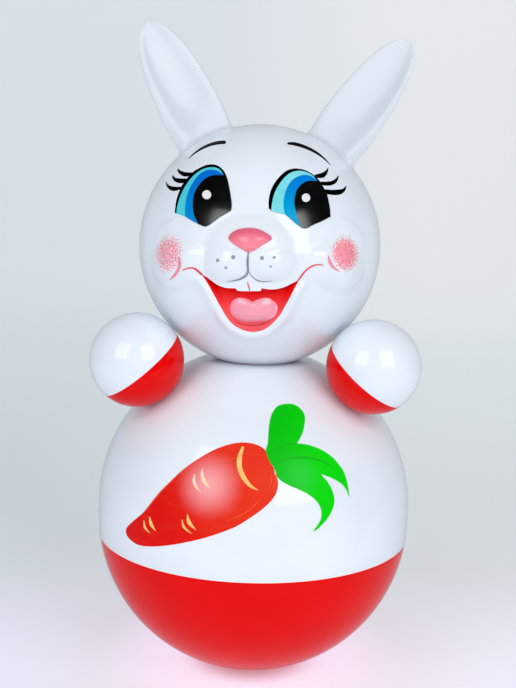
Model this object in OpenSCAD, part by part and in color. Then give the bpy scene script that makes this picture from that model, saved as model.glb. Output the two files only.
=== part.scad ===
// Roly poly hare: a hollow moulded toy that rights itself on a weighted bowl and chimes as it rocks.
// It faces -Y, stands on Z = 0, and its own left hand is on +X.

/* [Body] */
// Outside radius of the two round halves of the body
body_r = 98; // [88:1:115]
// Height of the straight band between the round halves
body_straight_h = 7; // [3:0.5:14]
// Wall of the body shells
body_wall = 2; // [1.4:0.1:3]
// Depth of the flat that the body stands on
rest_flat_depth = 0.4; // [0.2:0.1:1]
// Drop of the seam below the middle of the bowl
seam_drop = 11.2; // [6:0.2:18]
// Height of the lip along the white half
lip_h = 2.2; // [1:0.1:4]
// How far the lip stands out from the wall
lip_t = 0.25; // [0.1:0.05:0.6]
// Height of the bowl's rim inside the white half
rim_h = 8; // [4:0.5:14]
// Thickness of that rim
rim_t = 1.8; // [1:0.1:3]

/* [Neck] */
// How far the head sphere sinks into the body sphere
head_sink = 9.9; // [8:0.1:13]
// Thickness of the flat plates that meet at the neck
neck_plate_t = 2.4; // [1.6:0.1:3.4]
// Width of the flat left around the neck hole
neck_land = 8.8; // [7:0.1:11]
// Wall of the neck sleeve
neck_sleeve_wall = 2.2; // [1.4:0.1:3.5]
// Thickness of the sleeve's flange
neck_flange_t = 2; // [1.2:0.1:3]
// Thickness of the lock ring
lock_ring_t = 3; // [2:0.1:5]

/* [Head] */
// Outside radius of the head
head_r = 74; // [66:1:82]
// Wall of the head shells
head_wall = 2; // [1.4:0.1:3]
// How far the head is turned to its right, in degrees
head_turn = 3; // [0:0.5:8]
// Distance of the rear cap's seam behind the middle of the head
rear_seam_back = 34; // [31:0.5:42]
// Depth of the rear cap's rim
rear_rim_h = 6; // [4:0.5:8]

/* [Face] */
// Radius of the cheek swells
cheek_r = 21; // [19:0.5:23]
// Radius of the two muzzle swells
muzzle_r = 24; // [22:0.5:26]
// Radius of the lower lip swells
lip_r = 16.5; // [15:0.5:18]
// Radius of the rounded corners of the nose
nose_r = 4.5; // [3.5:0.1:6]
// Depth of the mouth below the round of the head
mouth_depth = 7; // [5:0.5:10]
// Radius of the upper corners of the mouth
mouth_corner_r = 5; // [3.5:0.1:6.5]
// Radius of the bottom of the mouth
mouth_bottom_r = 9; // [7:0.1:11]
// Radius of the tongue's lobes
tongue_r = 8.5; // [7:0.1:9.5]
// Width of one tooth
tooth_w = 11.6; // [9:0.1:13]
// Height of one tooth
tooth_h = 8; // [6:0.1:10]

/* [Ears] */
// Length of an ear from the head to its tip
ear_len = 76; // [60:1:95]
// Width of an ear
ear_w = 36; // [28:0.5:42]
// Swell of an ear's back
ear_back_t = 7; // [5:0.1:10]
// Height of the rolled edge round the ear's scoop
ear_edge_t = 4; // [3:0.1:6]
// Depth of the scoop below the ear's middle plane
ear_scoop = 1; // [0.4:0.1:2]
// Lean of the right ear from upright, in degrees
right_ear_lean = 28.3; // [24:0.1:40]
// Lean of the left ear from upright, in degrees
left_ear_lean = 34.6; // [24:0.1:40]
// How far the scoops are turned towards each other, in degrees
ear_toe_in = 20; // [0:1:30]
// Radius of an ear's peg
ear_peg_r = 4; // [3:0.1:6]
// Length of the peg inside the head
ear_peg_len = 8; // [6:0.5:12]
// Radius of an ear clip
ear_clip_r = 9; // [7:0.1:12]
// Thickness of an ear clip
ear_clip_t = 1.5; // [1:0.1:2.5]

/* [Hands] */
// Outside radius of a hand
hand_r = 28.1; // [24:0.1:32]
// Wall of the hand shells
hand_wall = 1.6; // [1.2:0.1:2.4]
// How far a hand sinks into the shoulder
hand_sink = 2; // [1:0.1:3.5]
// Clear space between hand and head
hand_head_gap = 1.8; // [0.6:0.1:5]
// How far the hands point forward, in degrees
hand_forward = 28; // [10:1:40]
// Distance of a hand's seam from its middle, towards the shoulder
hand_seam_drop = 5.3; // [3:0.1:8]
// Height of the cup's rim inside the cap
hand_rim_h = 4; // [2:0.1:6]
// Thickness of that rim
hand_rim_t = 1.4; // [1:0.1:2]
// Radius of the screw boss in a cup
hand_boss_r = 6; // [5:0.1:8]
// Height of that boss above the round of the cup
hand_boss_h = 14; // [10:0.5:18]

/* [Ballast] */
// Height of the weight's flat top above the floor
ballast_top_z = 26; // [20:0.5:30]
// Radius of the bowl's boss under the ballast screw
ballast_boss_r = 9; // [7:0.1:12]
// Radius of the ballast washer
ballast_washer_r = 16; // [14:0.5:22]
// Thickness of the ballast washer
ballast_washer_t = 1.6; // [1:0.1:2.5]
// Shank radius of the ballast screw
ballast_screw_r = 2.5; // [2:0.1:3.5]
// Length of the ballast screw below its washer
ballast_screw_len = 19; // [14:0.5:20]

/* [Chime] */
// Height of the chime base above the floor
chime_base_z = 42; // [38:0.5:48]
// Thickness of the chime base
chime_base_t = 4; // [3:0.1:6]
// Radius of the posts under the chime base
base_post_r = 5; // [4:0.1:6]
// Radius of the chime's column
column_r = 4; // [3:0.1:6]
// Height of the column from the base to the crown
column_h = 72; // [66:1:90]
// Radius of the hammer crown
crown_r = 30; // [28:0.5:34]
// Thickness of the hammer crown
crown_t = 4; // [3:0.1:6]
// Distance of the hammers from the column's axis
hammer_ring_r = 24; // [22:0.5:26]
// Length of a hammer from its pivot to the middle of its ball
hammer_len = 40; // [34:0.5:44]
// Radius of a hammer's ball
hammer_ball_r = 6; // [4.5:0.1:6.5]
// Radius of a hammer's arm
hammer_arm_r = 1.2; // [0.8:0.1:1.6]
// Radius of a pivot pin
pin_r = 1; // [0.8:0.05:1.4]
// Distance of the sounding rods from the column's axis
rod_ring_r = 40; // [39:0.5:46]
// Radius of a sounding rod
rod_r = 1.5; // [1:0.1:2]
// Length of the longest rod above the base
rod_len = 64; // [56:1:70]
// Step in length from one rod to the next
rod_step = 7; // [2:0.5:8]

/* [Fits] */
// Gap between pieces that are fitted together
fit_gap = 0.15; // [0.1:0.01:0.25]
// Radial running gap of a hammer on its pin
run_gap = 0.08; // [0.05:0.01:0.1]
// Gap around a shank or a pin that stays still
shank_gap = 0.05; // [0.02:0.01:0.1]
// Shank radius of the small screws
screw_r = 1.5; // [1.2:0.1:2]
// Head radius of the small screws
screw_head_r = 3.4; // [3:0.1:4]
// Head height of the small screws
screw_head_h = 2.4; // [1.8:0.1:3]
// Length of the small screws below their heads
screw_len = 13; // [11:0.5:14]
// Radius of a hand washer
hand_washer_r = 6; // [5:0.1:8]
// Thickness of a hand washer
hand_washer_t = 1.2; // [0.8:0.1:2]

/* [Hidden] */
$fn = 96;
hull_sides = 24;

white = [0.93, 0.95, 0.98];
red = [0.88, 0.08, 0.08];
ivory = [0.90, 0.87, 0.78];
iron = [0.30, 0.31, 0.33];
steel = [0.72, 0.74, 0.77];
brass = [0.80, 0.66, 0.32];

// Body heights and radii
bowl_z = body_r - rest_flat_depth;
dome_z = bowl_z + body_straight_h;
seam_z = bowl_z - seam_drop;
rest_flat_r = sqrt(pow(body_r, 2) - pow(bowl_z, 2));
body_in_r = body_r - body_wall;
seam_in_r = sqrt(pow(body_in_r, 2) - pow(seam_drop, 2));
rim_out_r = seam_in_r - fit_gap;
rim_in_r = rim_out_r - rim_t;
lip_out_r = sqrt(pow(body_r, 2) - pow(seam_drop - lip_h, 2)) + lip_t;
overrun = body_wall;
profile_steps = 30;

// Neck
head_lift = body_r + head_r - head_sink;
head_z = dome_z + head_lift;
neck_rise = (pow(head_lift, 2) + pow(body_r, 2) - pow(head_r, 2)) / (2 * head_lift);
neck_z = dome_z + neck_rise;
neck_r = sqrt(pow(body_r, 2) - pow(neck_rise, 2));
neck_hole_r = neck_r - neck_land;
neck_out_r = neck_hole_r - fit_gap;
flange_reach_share = 0.6;
neck_flange_r = neck_hole_r + neck_land * flange_reach_share;
lock_notches = 3;

// Head
head_in_r = head_r - head_wall;
neck_below_head = head_lift - neck_rise;
rear_rim_r = sqrt(pow(head_in_r, 2) - pow(rear_seam_back, 2)) - fit_gap;
rear_rim_root = head_wall * 1.5;
cheek_at_shares = [0.62, -0.595, 0];
muzzle_at_shares = [0.11, -0.775, 0.03];
lip_side_at_shares = [0.25, -0.69, -0.36];
lip_mid_at_shares = [0, -0.66, -0.51];
nose_side_at_shares = [0.1, -1.075, 0.145];
nose_low_at_shares = [0, -1.085, 0.065];
mouth_corner_at_shares = [0.30, -0.265];
mouth_bottom_at_shares = [0, -0.475];
tongue_side_at_shares = [0.085, -0.425];
tongue_tip_at_shares = [0, -0.49];
tooth_top_share = -0.165;
tooth_front_share = 0.985;
tooth_gap = fit_gap * 2;
tooth_deep = mouth_depth * 0.8;
tongue_floor_r = head_r - mouth_depth - tongue_r * 0.5;

// Ears
ear_rings = 18;
ear_ring_points = 28;
ear_root = 5;
ear_taper_power = 2.8;
ear_round_power = 0.6;
ear_tip_thin_share = 0.45;
ear_peg_root = ear_len * 0.05;
ear_scoop_start_share = 0.06;
ear_scoop_full_share = 0.3;
ear_seat_r = head_r + fit_gap;
ear_clip_out = sqrt(pow(head_in_r, 2) - pow(ear_clip_r, 2)) - fit_gap;

// Hands
hand_lift = body_r + hand_r - hand_sink;
hand_reach = head_r + hand_r + hand_head_gap;
hand_raise = asin((pow(hand_lift, 2) + pow(head_lift, 2) - pow(hand_reach, 2)) / (2 * hand_lift * head_lift));
hand_in_r = hand_r - hand_wall;
hand_seam_in_r = sqrt(pow(hand_in_r, 2) - pow(hand_seam_drop, 2));
hand_rim_out_r = hand_seam_in_r - fit_gap;
hand_rim_in_r = hand_rim_out_r - hand_rim_t;
hand_boss_top = hand_boss_h - hand_r;
hand_washer_out = sqrt(pow(body_in_r, 2) - pow(hand_washer_r, 2)) - fit_gap - hand_lift;
screw_hole_r = screw_r + shank_gap;
screw_pass_r = screw_r + fit_gap * 3;

// Ballast
ballast_gap = fit_gap * 2;
ballast_r = body_in_r - ballast_gap;
ballast_hole_r = ballast_boss_r + ballast_gap;
ballast_washer_z = ballast_top_z;
ballast_screw_z = ballast_washer_z + ballast_washer_t;
ballast_boss_z = ballast_top_z - ballast_gap;
ballast_screw_head_r = ballast_screw_r * 2;
ballast_screw_head_h = ballast_screw_r * 1.5;

// Chime
base_gap = fit_gap * 8;
chime_base_r = sqrt(pow(body_in_r, 2) - pow(bowl_z - chime_base_z, 2)) - base_gap;
base_post_at = chime_base_r - base_post_r - base_gap;
base_posts = 3;
base_top_z = chime_base_z + chime_base_t;
crown_z = base_top_z + column_h;
collar_r = column_r * 1.6;
collar_h = column_r;
crown_top_z = crown_z + crown_t;
nut_h = column_r * 1.2;
nut_r = column_r * 1.9;
nut_sides = 6;
column_end = column_r * 0.5;
hammers = 4;
hammer_first = 45;
eye_r = pin_r * 2.8;
eye_len = pin_r * 4;
lug_gap = eye_len + fit_gap * 4;
lug_t = pin_r * 2;
lug_w = eye_r * 2.4;
pivot_drop = eye_r + fit_gap * 10;
pivot_z = crown_z - pivot_drop;
lug_h = pivot_drop + eye_r;
pin_len = lug_gap + lug_t * 2 + pin_r;
socket_r = rod_r * 2.6;
socket_h = rod_r * 4;

// Points along an arc in the plane of a profile
function arc_points(z, r, from, to, steps) =
    [for (i = [0:steps]) let (a = from + (to - from) * i / steps) [r * cos(a), z + r * sin(a)]];

// Half width of an ear at a share of its length
function ear_half(t) = ear_w / 2 * pow(max(0, 1 - pow(max(0, t), ear_taper_power)), ear_round_power);

// How much of the scoop an ear has at a share of its length
function ear_scoop_fade(t) =
    let (u = (t - ear_scoop_start_share) / (ear_scoop_full_share - ear_scoop_start_share))
    let (v = min(1, max(0, u)))
    v * v * (3 - 2 * v);

// One ring of an ear: a swelled back and a scooped front with a rolled edge
function ear_ring(t) =
    let (half = ear_half(t), thin = 1 - ear_tip_thin_share * max(0, t), full = half * 2 / ear_w)
    let (back = ear_back_t * thin * sqrt(full), edge = ear_edge_t * thin * sqrt(full))
    let (scoop = (edge + ear_scoop * thin * full) * ear_scoop_fade(t))
    [for (k = [0:ear_ring_points - 1])
        let (a = 360 * k / ear_ring_points, c = cos(a), s = sin(a))
        [half * c, s >= 0 ? back * s : scoop * pow(s * s, 1.5) - edge * sqrt(abs(s)), ear_len * t]];

function ear_share(i) = i == 0 ? -ear_root / ear_len : sin(88 * i / ear_rings);

// Places a shape on the head's middle, turned with the head
module on_head() {
    translate([0, 0, head_z])
        rotate([0, 0, -head_turn])
            children();
}

// Places a shape on both sides of the face
module both_sides() {
    for (side = [-1, 1])
        scale([side, 1, 1])
            children();
}

// Places a shape in a hand's own frame, with Z pointing away from the shoulder
module on_hand(side) {
    translate([0, 0, dome_z])
        rotate([0, 0, side > 0 ? -hand_forward : 180 + hand_forward])
            rotate([0, 90 - hand_raise, 0])
                translate([0, 0, hand_lift])
                    children();
}

// Places a shape in a hammer's own frame, with X pointing away from the column
module on_crown(i) {
    rotate([0, 0, hammer_first + 360 / hammers * (i - 1)])
        children();
}

// A pan head screw that points down from Z = 0, with a cross slot
module pan_screw(shank, length, head, height) {
    slot = shank * 0.6;
    difference() {
        cylinder(r = head, h = height);
        for (a = [0, 90])
            rotate([0, 0, a])
                translate([-head * 0.7, -slot / 2, height * 0.5])
                    cube([head * 1.4, slot, height]);
    }
    translate([0, 0, -length])
        cylinder(r = shank, h = length + height * 0.2);
}

module flat_ring(out, in, height) {
    difference() {
        cylinder(r = out, h = height);
        translate([0, 0, -overrun])
            cylinder(r = in, h = height + overrun * 2);
    }
}

module bowl_posts() {
    for (i = [0:base_posts - 1])
        rotate([0, 0, 360 / base_posts * i])
            translate([base_post_at, 0, 0])
                children();
}

module lower_body_shell() {
    flat_edge = -acos(rest_flat_r / body_r);
    seam_edge = -asin(seam_drop / body_r);
    rim_edge = -acos(rim_in_r / body_in_r);
    color(red)
        difference() {
            union() {
                rotate_extrude()
                    polygon(concat(
                        [[0, 0]],
                        arc_points(bowl_z, body_r, flat_edge, seam_edge, profile_steps),
                        [[rim_out_r, seam_z], [rim_out_r, seam_z + rim_h], [rim_in_r, seam_z + rim_h]],
                        arc_points(bowl_z, body_in_r, rim_edge, -90, profile_steps)
                    ));
                translate([0, 0, body_wall / 2])
                    cylinder(r = ballast_boss_r, h = ballast_boss_z - body_wall / 2);
                intersection() {
                    translate([0, 0, bowl_z])
                        sphere(r = body_r - body_wall / 2);
                    bowl_posts()
                        cylinder(r = base_post_r, h = chime_base_z);
                }
            }
            translate([0, 0, ballast_screw_z - ballast_screw_len - overrun])
                cylinder(r = ballast_screw_r + shank_gap, h = ballast_top_z);
            bowl_posts()
                translate([0, 0, base_top_z - screw_len - shank_gap])
                    cylinder(r = screw_hole_r, h = screw_len);
        }
}

module upper_body_shell() {
    lip_edge = -asin((seam_drop - lip_h) / body_r);
    neck_edge = asin(neck_rise / body_r);
    plate_edge = asin((neck_rise - neck_plate_t) / body_in_r);
    seam_edge = -asin(seam_drop / body_in_r);
    color(white)
        difference() {
            rotate_extrude()
                polygon(concat(
                    [[lip_out_r, seam_z], [lip_out_r, seam_z + lip_h]],
                    arc_points(bowl_z, body_r, lip_edge, 0, 4),
                    arc_points(dome_z, body_r, 0, neck_edge, profile_steps),
                    [[neck_hole_r, neck_z], [neck_hole_r, neck_z - neck_plate_t]],
                    arc_points(dome_z, body_in_r, plate_edge, 0, profile_steps),
                    arc_points(bowl_z, body_in_r, 0, seam_edge, 4)
                ));
            for (side = [-1, 1])
                on_hand(side)
                    translate([0, 0, -hand_lift / 2])
                        cylinder(r = screw_pass_r, h = hand_lift, center = true);
        }
}

module ballast_weight() {
    color(iron)
        difference() {
            intersection() {
                translate([0, 0, bowl_z])
                    sphere(r = ballast_r);
                cylinder(r = body_r, h = ballast_top_z);
            }
            cylinder(r = ballast_hole_r, h = ballast_top_z * 2);
        }
}

module ballast_washer() {
    color(steel)
        translate([0, 0, ballast_washer_z])
            flat_ring(ballast_washer_r, ballast_screw_r + fit_gap, ballast_washer_t);
}

module ballast_screw() {
    color(steel)
        translate([0, 0, ballast_screw_z])
            pan_screw(ballast_screw_r, ballast_screw_len, ballast_screw_head_r, ballast_screw_head_h);
}

module chime_base() {
    color(ivory)
        difference() {
            union() {
                translate([0, 0, chime_base_z])
                    cylinder(r = chime_base_r, h = chime_base_t);
                for (i = [1:hammers])
                    on_crown(i)
                        translate([rod_ring_r, 0, base_top_z - overrun])
                            cylinder(r = socket_r, h = socket_h + overrun);
            }
            cylinder(r = column_r + shank_gap, h = crown_z);
            for (i = [1:hammers])
                on_crown(i)
                    translate([rod_ring_r, 0, chime_base_z + chime_base_t / 2])
                        cylinder(r = rod_r + shank_gap, h = crown_z);
            bowl_posts()
                cylinder(r = screw_pass_r, h = crown_z);
        }
}

module chime_base_screws() {
    color(steel)
        bowl_posts()
            translate([0, 0, base_top_z])
                pan_screw(screw_r, screw_len, screw_head_r, screw_head_h);
}

module chime_post() {
    color(steel) {
        translate([0, 0, chime_base_z - column_end])
            cylinder(r = column_r, h = crown_top_z + nut_h + column_end * 2 - chime_base_z);
        translate([0, 0, base_top_z])
            cylinder(r = collar_r, h = collar_h);
        translate([0, 0, crown_z - collar_h])
            cylinder(r = collar_r, h = collar_h);
        translate([0, 0, chime_base_z - column_end])
            cylinder(r = collar_r, h = column_end);
    }
}

module hammer_crown() {
    color(brass)
        difference() {
            union() {
                translate([0, 0, crown_z])
                    cylinder(r = crown_r, h = crown_t);
                for (i = [1:hammers], side = [-1, 1])
                    on_crown(i)
                        translate([hammer_ring_r, side * (lug_gap + lug_t) / 2, crown_z - lug_h / 2])
                            cube([lug_w, lug_t, lug_h + crown_t], center = true);
            }
            cylinder(r = column_r + shank_gap, h = crown_top_z + overrun);
            for (i = [1:hammers])
                on_crown(i)
                    translate([hammer_ring_r, 0, pivot_z])
                        rotate([90, 0, 0])
                            cylinder(r = pin_r + shank_gap, h = pin_len + overrun, center = true);
        }
}

module crown_nut() {
    color(steel)
        translate([0, 0, crown_top_z])
            difference() {
                cylinder(r = nut_r, h = nut_h, $fn = nut_sides);
                translate([0, 0, -overrun])
                    cylinder(r = column_r + shank_gap, h = nut_h + overrun * 2);
            }
}

module hammer_pins() {
    color(steel)
        for (i = [1:hammers])
            on_crown(i)
                translate([hammer_ring_r, 0, pivot_z])
                    rotate([90, 0, 0])
                        cylinder(r = pin_r, h = pin_len, center = true);
}

module chime_rod(i) {
    root = chime_base_t / 2;
    color(brass)
        on_crown(i)
            translate([rod_ring_r, 0, base_top_z - root])
                cylinder(r = rod_r, h = rod_len - rod_step * (i - 1) + root);
}

module chime_hammer(i) {
    color(steel)
        on_crown(i)
            translate([hammer_ring_r, 0, pivot_z])
                difference() {
                    union() {
                        rotate([90, 0, 0])
                            cylinder(r = eye_r, h = eye_len, center = true);
                        translate([0, 0, -hammer_len])
                            cylinder(r = hammer_arm_r, h = hammer_len);
                        translate([0, 0, -hammer_len])
                            sphere(r = hammer_ball_r);
                    }
                    rotate([90, 0, 0])
                        cylinder(r = pin_r + run_gap, h = eye_len + overrun, center = true);
                }
}

module neck_sleeve() {
    flange_z = neck_z + neck_plate_t;
    end_z = neck_z - neck_plate_t - lock_ring_t - neck_flange_t;
    color(ivory)
        difference() {
            union() {
                translate([0, 0, end_z])
                    cylinder(r = neck_out_r, h = flange_z + neck_flange_t - end_z);
                translate([0, 0, flange_z])
                    cylinder(r = neck_flange_r, h = neck_flange_t);
            }
            translate([0, 0, end_z - overrun])
                cylinder(r = neck_out_r - neck_sleeve_wall, h = head_lift);
        }
}

module neck_lock_ring() {
    color(red)
        translate([0, 0, neck_z - neck_plate_t - lock_ring_t])
            difference() {
                flat_ring(neck_flange_r, neck_hole_r, lock_ring_t);
                for (i = [0:lock_notches - 1])
                    rotate([0, 0, 360 / lock_notches * i])
                        translate([neck_flange_r, 0, -overrun])
                            cylinder(r = lock_ring_t / 2, h = lock_ring_t + overrun * 2);
            }
}

// Flat outline of the mouth, grown by a margin, standing in front of the head's middle
module mouth_prism(grow) {
    rotate([90, 0, 0])
        linear_extrude(height = head_r * 2)
            hull() {
                for (side = [-1, 1])
                    translate([side * mouth_corner_at_shares.x, mouth_corner_at_shares.y] * head_r)
                        circle(r = mouth_corner_r + grow, $fn = hull_sides);
                translate(mouth_bottom_at_shares * head_r)
                    circle(r = mouth_bottom_r + grow, $fn = hull_sides);
            }
}

module face_swells() {
    both_sides() {
        translate(cheek_at_shares * head_r)
            sphere(r = cheek_r);
        translate(muzzle_at_shares * head_r)
            sphere(r = muzzle_r);
        translate(lip_side_at_shares * head_r)
            sphere(r = lip_r);
    }
    translate(lip_mid_at_shares * head_r)
        sphere(r = lip_r);
}

module nose() {
    hull() {
        both_sides()
            translate(nose_side_at_shares * head_r)
                sphere(r = nose_r, $fn = hull_sides);
        translate(nose_low_at_shares * head_r)
            sphere(r = nose_r, $fn = hull_sides);
    }
}

module tongue() {
    places = [
        [-tongue_side_at_shares.x, tongue_side_at_shares.y],
        [tongue_side_at_shares.x, tongue_side_at_shares.y],
        tongue_tip_at_shares
    ];
    for (p = places)
        translate([p.x * head_r, -sqrt(pow(tongue_floor_r, 2) - pow(p.y * head_r, 2)), p.y * head_r])
            sphere(r = tongue_r);
}

module teeth() {
    for (side = [-1, 1])
        translate([side * (tooth_w + tooth_gap) / 2, -tooth_front_share * head_r, tooth_top_share * head_r])
            translate([-tooth_w / 2, 0, -tooth_h])
                cube([tooth_w, tooth_deep, tooth_h]);
}

module head_cavity() {
    intersection() {
        sphere(r = head_in_r);
        translate([0, 0, neck_plate_t - neck_below_head])
            cylinder(r = head_r, h = head_r * 2);
    }
}

module mouth_pocket() {
    intersection() {
        mouth_prism(head_wall);
        difference() {
            sphere(r = head_r - head_wall / 2);
            sphere(r = head_r - mouth_depth - head_wall);
        }
    }
}

module head_front_shell() {
    color(white)
        on_head()
            difference() {
                union() {
                    difference() {
                        union() {
                            difference() {
                                union() {
                                    sphere(r = head_r);
                                    face_swells();
                                }
                                head_cavity();
                            }
                            mouth_pocket();
                        }
                        difference() {
                            mouth_prism(0);
                            sphere(r = head_r - mouth_depth);
                        }
                    }
                    intersection() {
                        tongue();
                        difference() {
                            mouth_prism(head_wall / 2);
                            sphere(r = head_r - mouth_depth - head_wall / 2);
                        }
                    }
                    nose();
                    teeth();
                }
                translate([-head_r, rear_seam_back, -head_r])
                    cube([head_r * 2, head_r, head_r * 2]);
                translate([0, 0, -neck_below_head - head_r])
                    cylinder(r = head_r, h = head_r);
                translate([0, 0, -head_r])
                    cylinder(r = neck_hole_r, h = head_r / 2);
                for (lean = [-right_ear_lean, left_ear_lean])
                    rotate([0, lean, 0])
                        cylinder(r = ear_peg_r + fit_gap, h = head_r * 2);
            }
}

module head_rear_cap() {
    color(white)
        on_head() {
            difference() {
                sphere(r = head_r);
                sphere(r = head_in_r);
                translate([-head_r, -head_r * 2 + rear_seam_back, -head_r])
                    cube([head_r * 2, head_r * 2, head_r * 2]);
            }
            difference() {
                intersection() {
                    translate([0, rear_seam_back - rear_rim_h, 0])
                        rotate([-90, 0, 0])
                            cylinder(r = rear_rim_r, h = rear_rim_h + rear_rim_root);
                    sphere(r = head_r - head_wall / 2);
                }
                translate([0, rear_seam_back - rear_rim_h - overrun, 0])
                    rotate([-90, 0, 0])
                        cylinder(r = rear_rim_r - head_wall, h = head_r);
            }
        }
}

// An ear along Z, with its seat dished to the head and a peg into it
module ear(lean) {
    n = ear_ring_points;
    points = [for (i = [0:ear_rings]) each ear_ring(ear_share(i))];
    tip = [0, 0, ear_len];
    sides = [for (i = [0:ear_rings - 1], k = [0:n - 1])
        let (a = i * n + k, b = i * n + (k + 1) % n)
        each [[a, a + n, b], [b, a + n, b + n]]];
    cap = [for (k = [0:n - 1]) [ear_rings * n + k, len(points), ear_rings * n + (k + 1) % n]];
    base = [[for (k = [0:n - 1]) k]];
    color(white)
        on_head()
            rotate([0, lean, 0]) {
                difference() {
                    translate([0, 0, head_r])
                        rotate([0, 0, lean > 0 ? -ear_toe_in : ear_toe_in])
                            polyhedron(concat(points, [tip]), concat(sides, cap, base));
                    sphere(r = ear_seat_r);
                }
                translate([0, 0, head_in_r - ear_peg_len])
                    cylinder(r = ear_peg_r, h = ear_peg_len + head_wall + ear_peg_root);
            }
}

module ear_clips() {
    color(steel)
        on_head()
            for (lean = [-right_ear_lean, left_ear_lean])
                rotate([0, lean, 0])
                    translate([0, 0, ear_clip_out - ear_clip_t])
                        flat_ring(ear_clip_r, ear_peg_r + shank_gap, ear_clip_t);
}

module hand_cap(side) {
    seam_edge = -asin(hand_seam_drop / hand_r);
    seam_in_edge = -asin(hand_seam_drop / hand_in_r);
    color(white)
        on_hand(side)
            rotate_extrude()
                polygon(concat(
                    arc_points(0, hand_r, seam_edge, 90, profile_steps),
                    arc_points(0, hand_in_r, 90, seam_in_edge, profile_steps)
                ));
}

module hand_cup(side) {
    seam_edge = -asin(hand_seam_drop / hand_r);
    rim_edge = -acos(hand_rim_in_r / hand_in_r);
    color(red)
        on_hand(side)
            difference() {
                union() {
                    rotate_extrude()
                        polygon(concat(
                            arc_points(0, hand_r, -90, seam_edge, profile_steps),
                            [
                                [hand_rim_out_r, -hand_seam_drop],
                                [hand_rim_out_r, hand_rim_h - hand_seam_drop],
                                [hand_rim_in_r, hand_rim_h - hand_seam_drop]
                            ],
                            arc_points(0, hand_in_r, rim_edge, -90, profile_steps)
                        ));
                    translate([0, 0, -hand_r + hand_wall / 2])
                        cylinder(r = hand_boss_r, h = hand_boss_h);
                }
                translate([0, 0, -hand_lift])
                    sphere(r = body_r + fit_gap);
                translate([0, 0, -hand_r - overrun])
                    cylinder(r = screw_hole_r, h = hand_boss_h);
            }
}

module hand_washers() {
    color(steel)
        for (side = [-1, 1])
            on_hand(side)
                translate([0, 0, hand_washer_out - hand_washer_t])
                    flat_ring(hand_washer_r, screw_pass_r, hand_washer_t);
}

module hand_screws() {
    color(steel)
        for (side = [-1, 1])
            on_hand(side)
                translate([0, 0, hand_washer_out - hand_washer_t])
                    mirror([0, 0, 1])
                        pan_screw(screw_r, screw_len, screw_head_r, screw_head_h);
}

lower_body_shell();
upper_body_shell();
ballast_weight();
ballast_washer();
ballast_screw();
chime_base();
chime_base_screws();
chime_post();
hammer_crown();
crown_nut();
hammer_pins();
chime_rod(1);  // chime_rod_1
chime_rod(2);  // chime_rod_2
chime_rod(3);  // chime_rod_3
chime_rod(4);  // chime_rod_4
chime_hammer(1);  // chime_hammer_1
chime_hammer(2);  // chime_hammer_2
chime_hammer(3);  // chime_hammer_3
chime_hammer(4);  // chime_hammer_4
neck_sleeve();
neck_lock_ring();
head_front_shell();
head_rear_cap();
ear(left_ear_lean);  // left_ear
ear(-right_ear_lean);  // right_ear
ear_clips();
hand_cap(1);  // left_hand_cap
hand_cap(-1);  // right_hand_cap
hand_cup(1);  // left_hand_cup
hand_cup(-1);  // right_hand_cup
hand_screws();
hand_washers();
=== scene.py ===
"""Roly poly hare: the finished look of a hollow moulded toy with a painted face and a carrot on its belly."""

import math

import bpy
import numpy as np
from mathutils import Matrix, Vector


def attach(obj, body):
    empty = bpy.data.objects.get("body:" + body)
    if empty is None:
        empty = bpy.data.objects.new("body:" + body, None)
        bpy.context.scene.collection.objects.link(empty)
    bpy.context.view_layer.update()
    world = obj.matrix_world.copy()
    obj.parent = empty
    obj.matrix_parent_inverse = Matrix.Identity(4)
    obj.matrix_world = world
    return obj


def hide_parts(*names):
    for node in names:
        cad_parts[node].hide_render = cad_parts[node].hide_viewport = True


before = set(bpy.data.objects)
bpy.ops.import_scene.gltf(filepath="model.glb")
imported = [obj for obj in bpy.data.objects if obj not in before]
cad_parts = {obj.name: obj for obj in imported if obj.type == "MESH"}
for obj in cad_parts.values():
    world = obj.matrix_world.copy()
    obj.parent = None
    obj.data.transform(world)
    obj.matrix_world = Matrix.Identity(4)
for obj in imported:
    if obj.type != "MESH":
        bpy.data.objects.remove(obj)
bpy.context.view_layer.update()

MM = 0.001

# Body, in metres
BODY_R = 98 * MM
BODY_WALL = 2 * MM
BODY_STRAIGHT = 7 * MM
REST_FLAT = 0.4 * MM
SEAM_DROP = 11.2 * MM
LIP_H = 0.8 * MM
LIP_T = 0.25 * MM
SEAM_EASE = 0.35 * MM
RIM_H = 8 * MM
RIM_T = 1.8 * MM
BOWL_Z = BODY_R - REST_FLAT
DOME_Z = BOWL_Z + BODY_STRAIGHT
SEAM_Z = BOWL_Z - SEAM_DROP
BODY_IN = BODY_R - BODY_WALL
FIT = 0.15 * MM

# Head and neck
HEAD_R = 74 * MM
HEAD_WALL = 2 * MM
HEAD_IN = HEAD_R - HEAD_WALL
HEAD_SINK = 9.9 * MM
HEAD_LIFT = BODY_R + HEAD_R - HEAD_SINK
HEAD_Z = DOME_Z + HEAD_LIFT
HEAD_AT = np.array((0, 0, HEAD_Z))
HEAD_TURN = math.radians(-3)
HEAD_AROUND = 320
HEAD_RINGS = 200
REAR_SEAM = 34 * MM
REAR_RIM_H = 6 * MM
REAR_SEAM_EASE = 0.9 * MM
NECK_RISE = (HEAD_LIFT ** 2 + BODY_R ** 2 - HEAD_R ** 2) / (2 * HEAD_LIFT)
NECK_R = math.sqrt(BODY_R ** 2 - NECK_RISE ** 2)
NECK_LEDGE = 8.8 * MM
NECK_HOLE_R = NECK_R - NECK_LEDGE
NECK_PLATE = 2.4 * MM
NECK_SEAT = 1.9 * MM
NECK_BELOW_HEAD = HEAD_LIFT - NECK_RISE + NECK_SEAT
HEAD_FOOT_R = math.sqrt(HEAD_R ** 2 - NECK_BELOW_HEAD ** 2)

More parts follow.
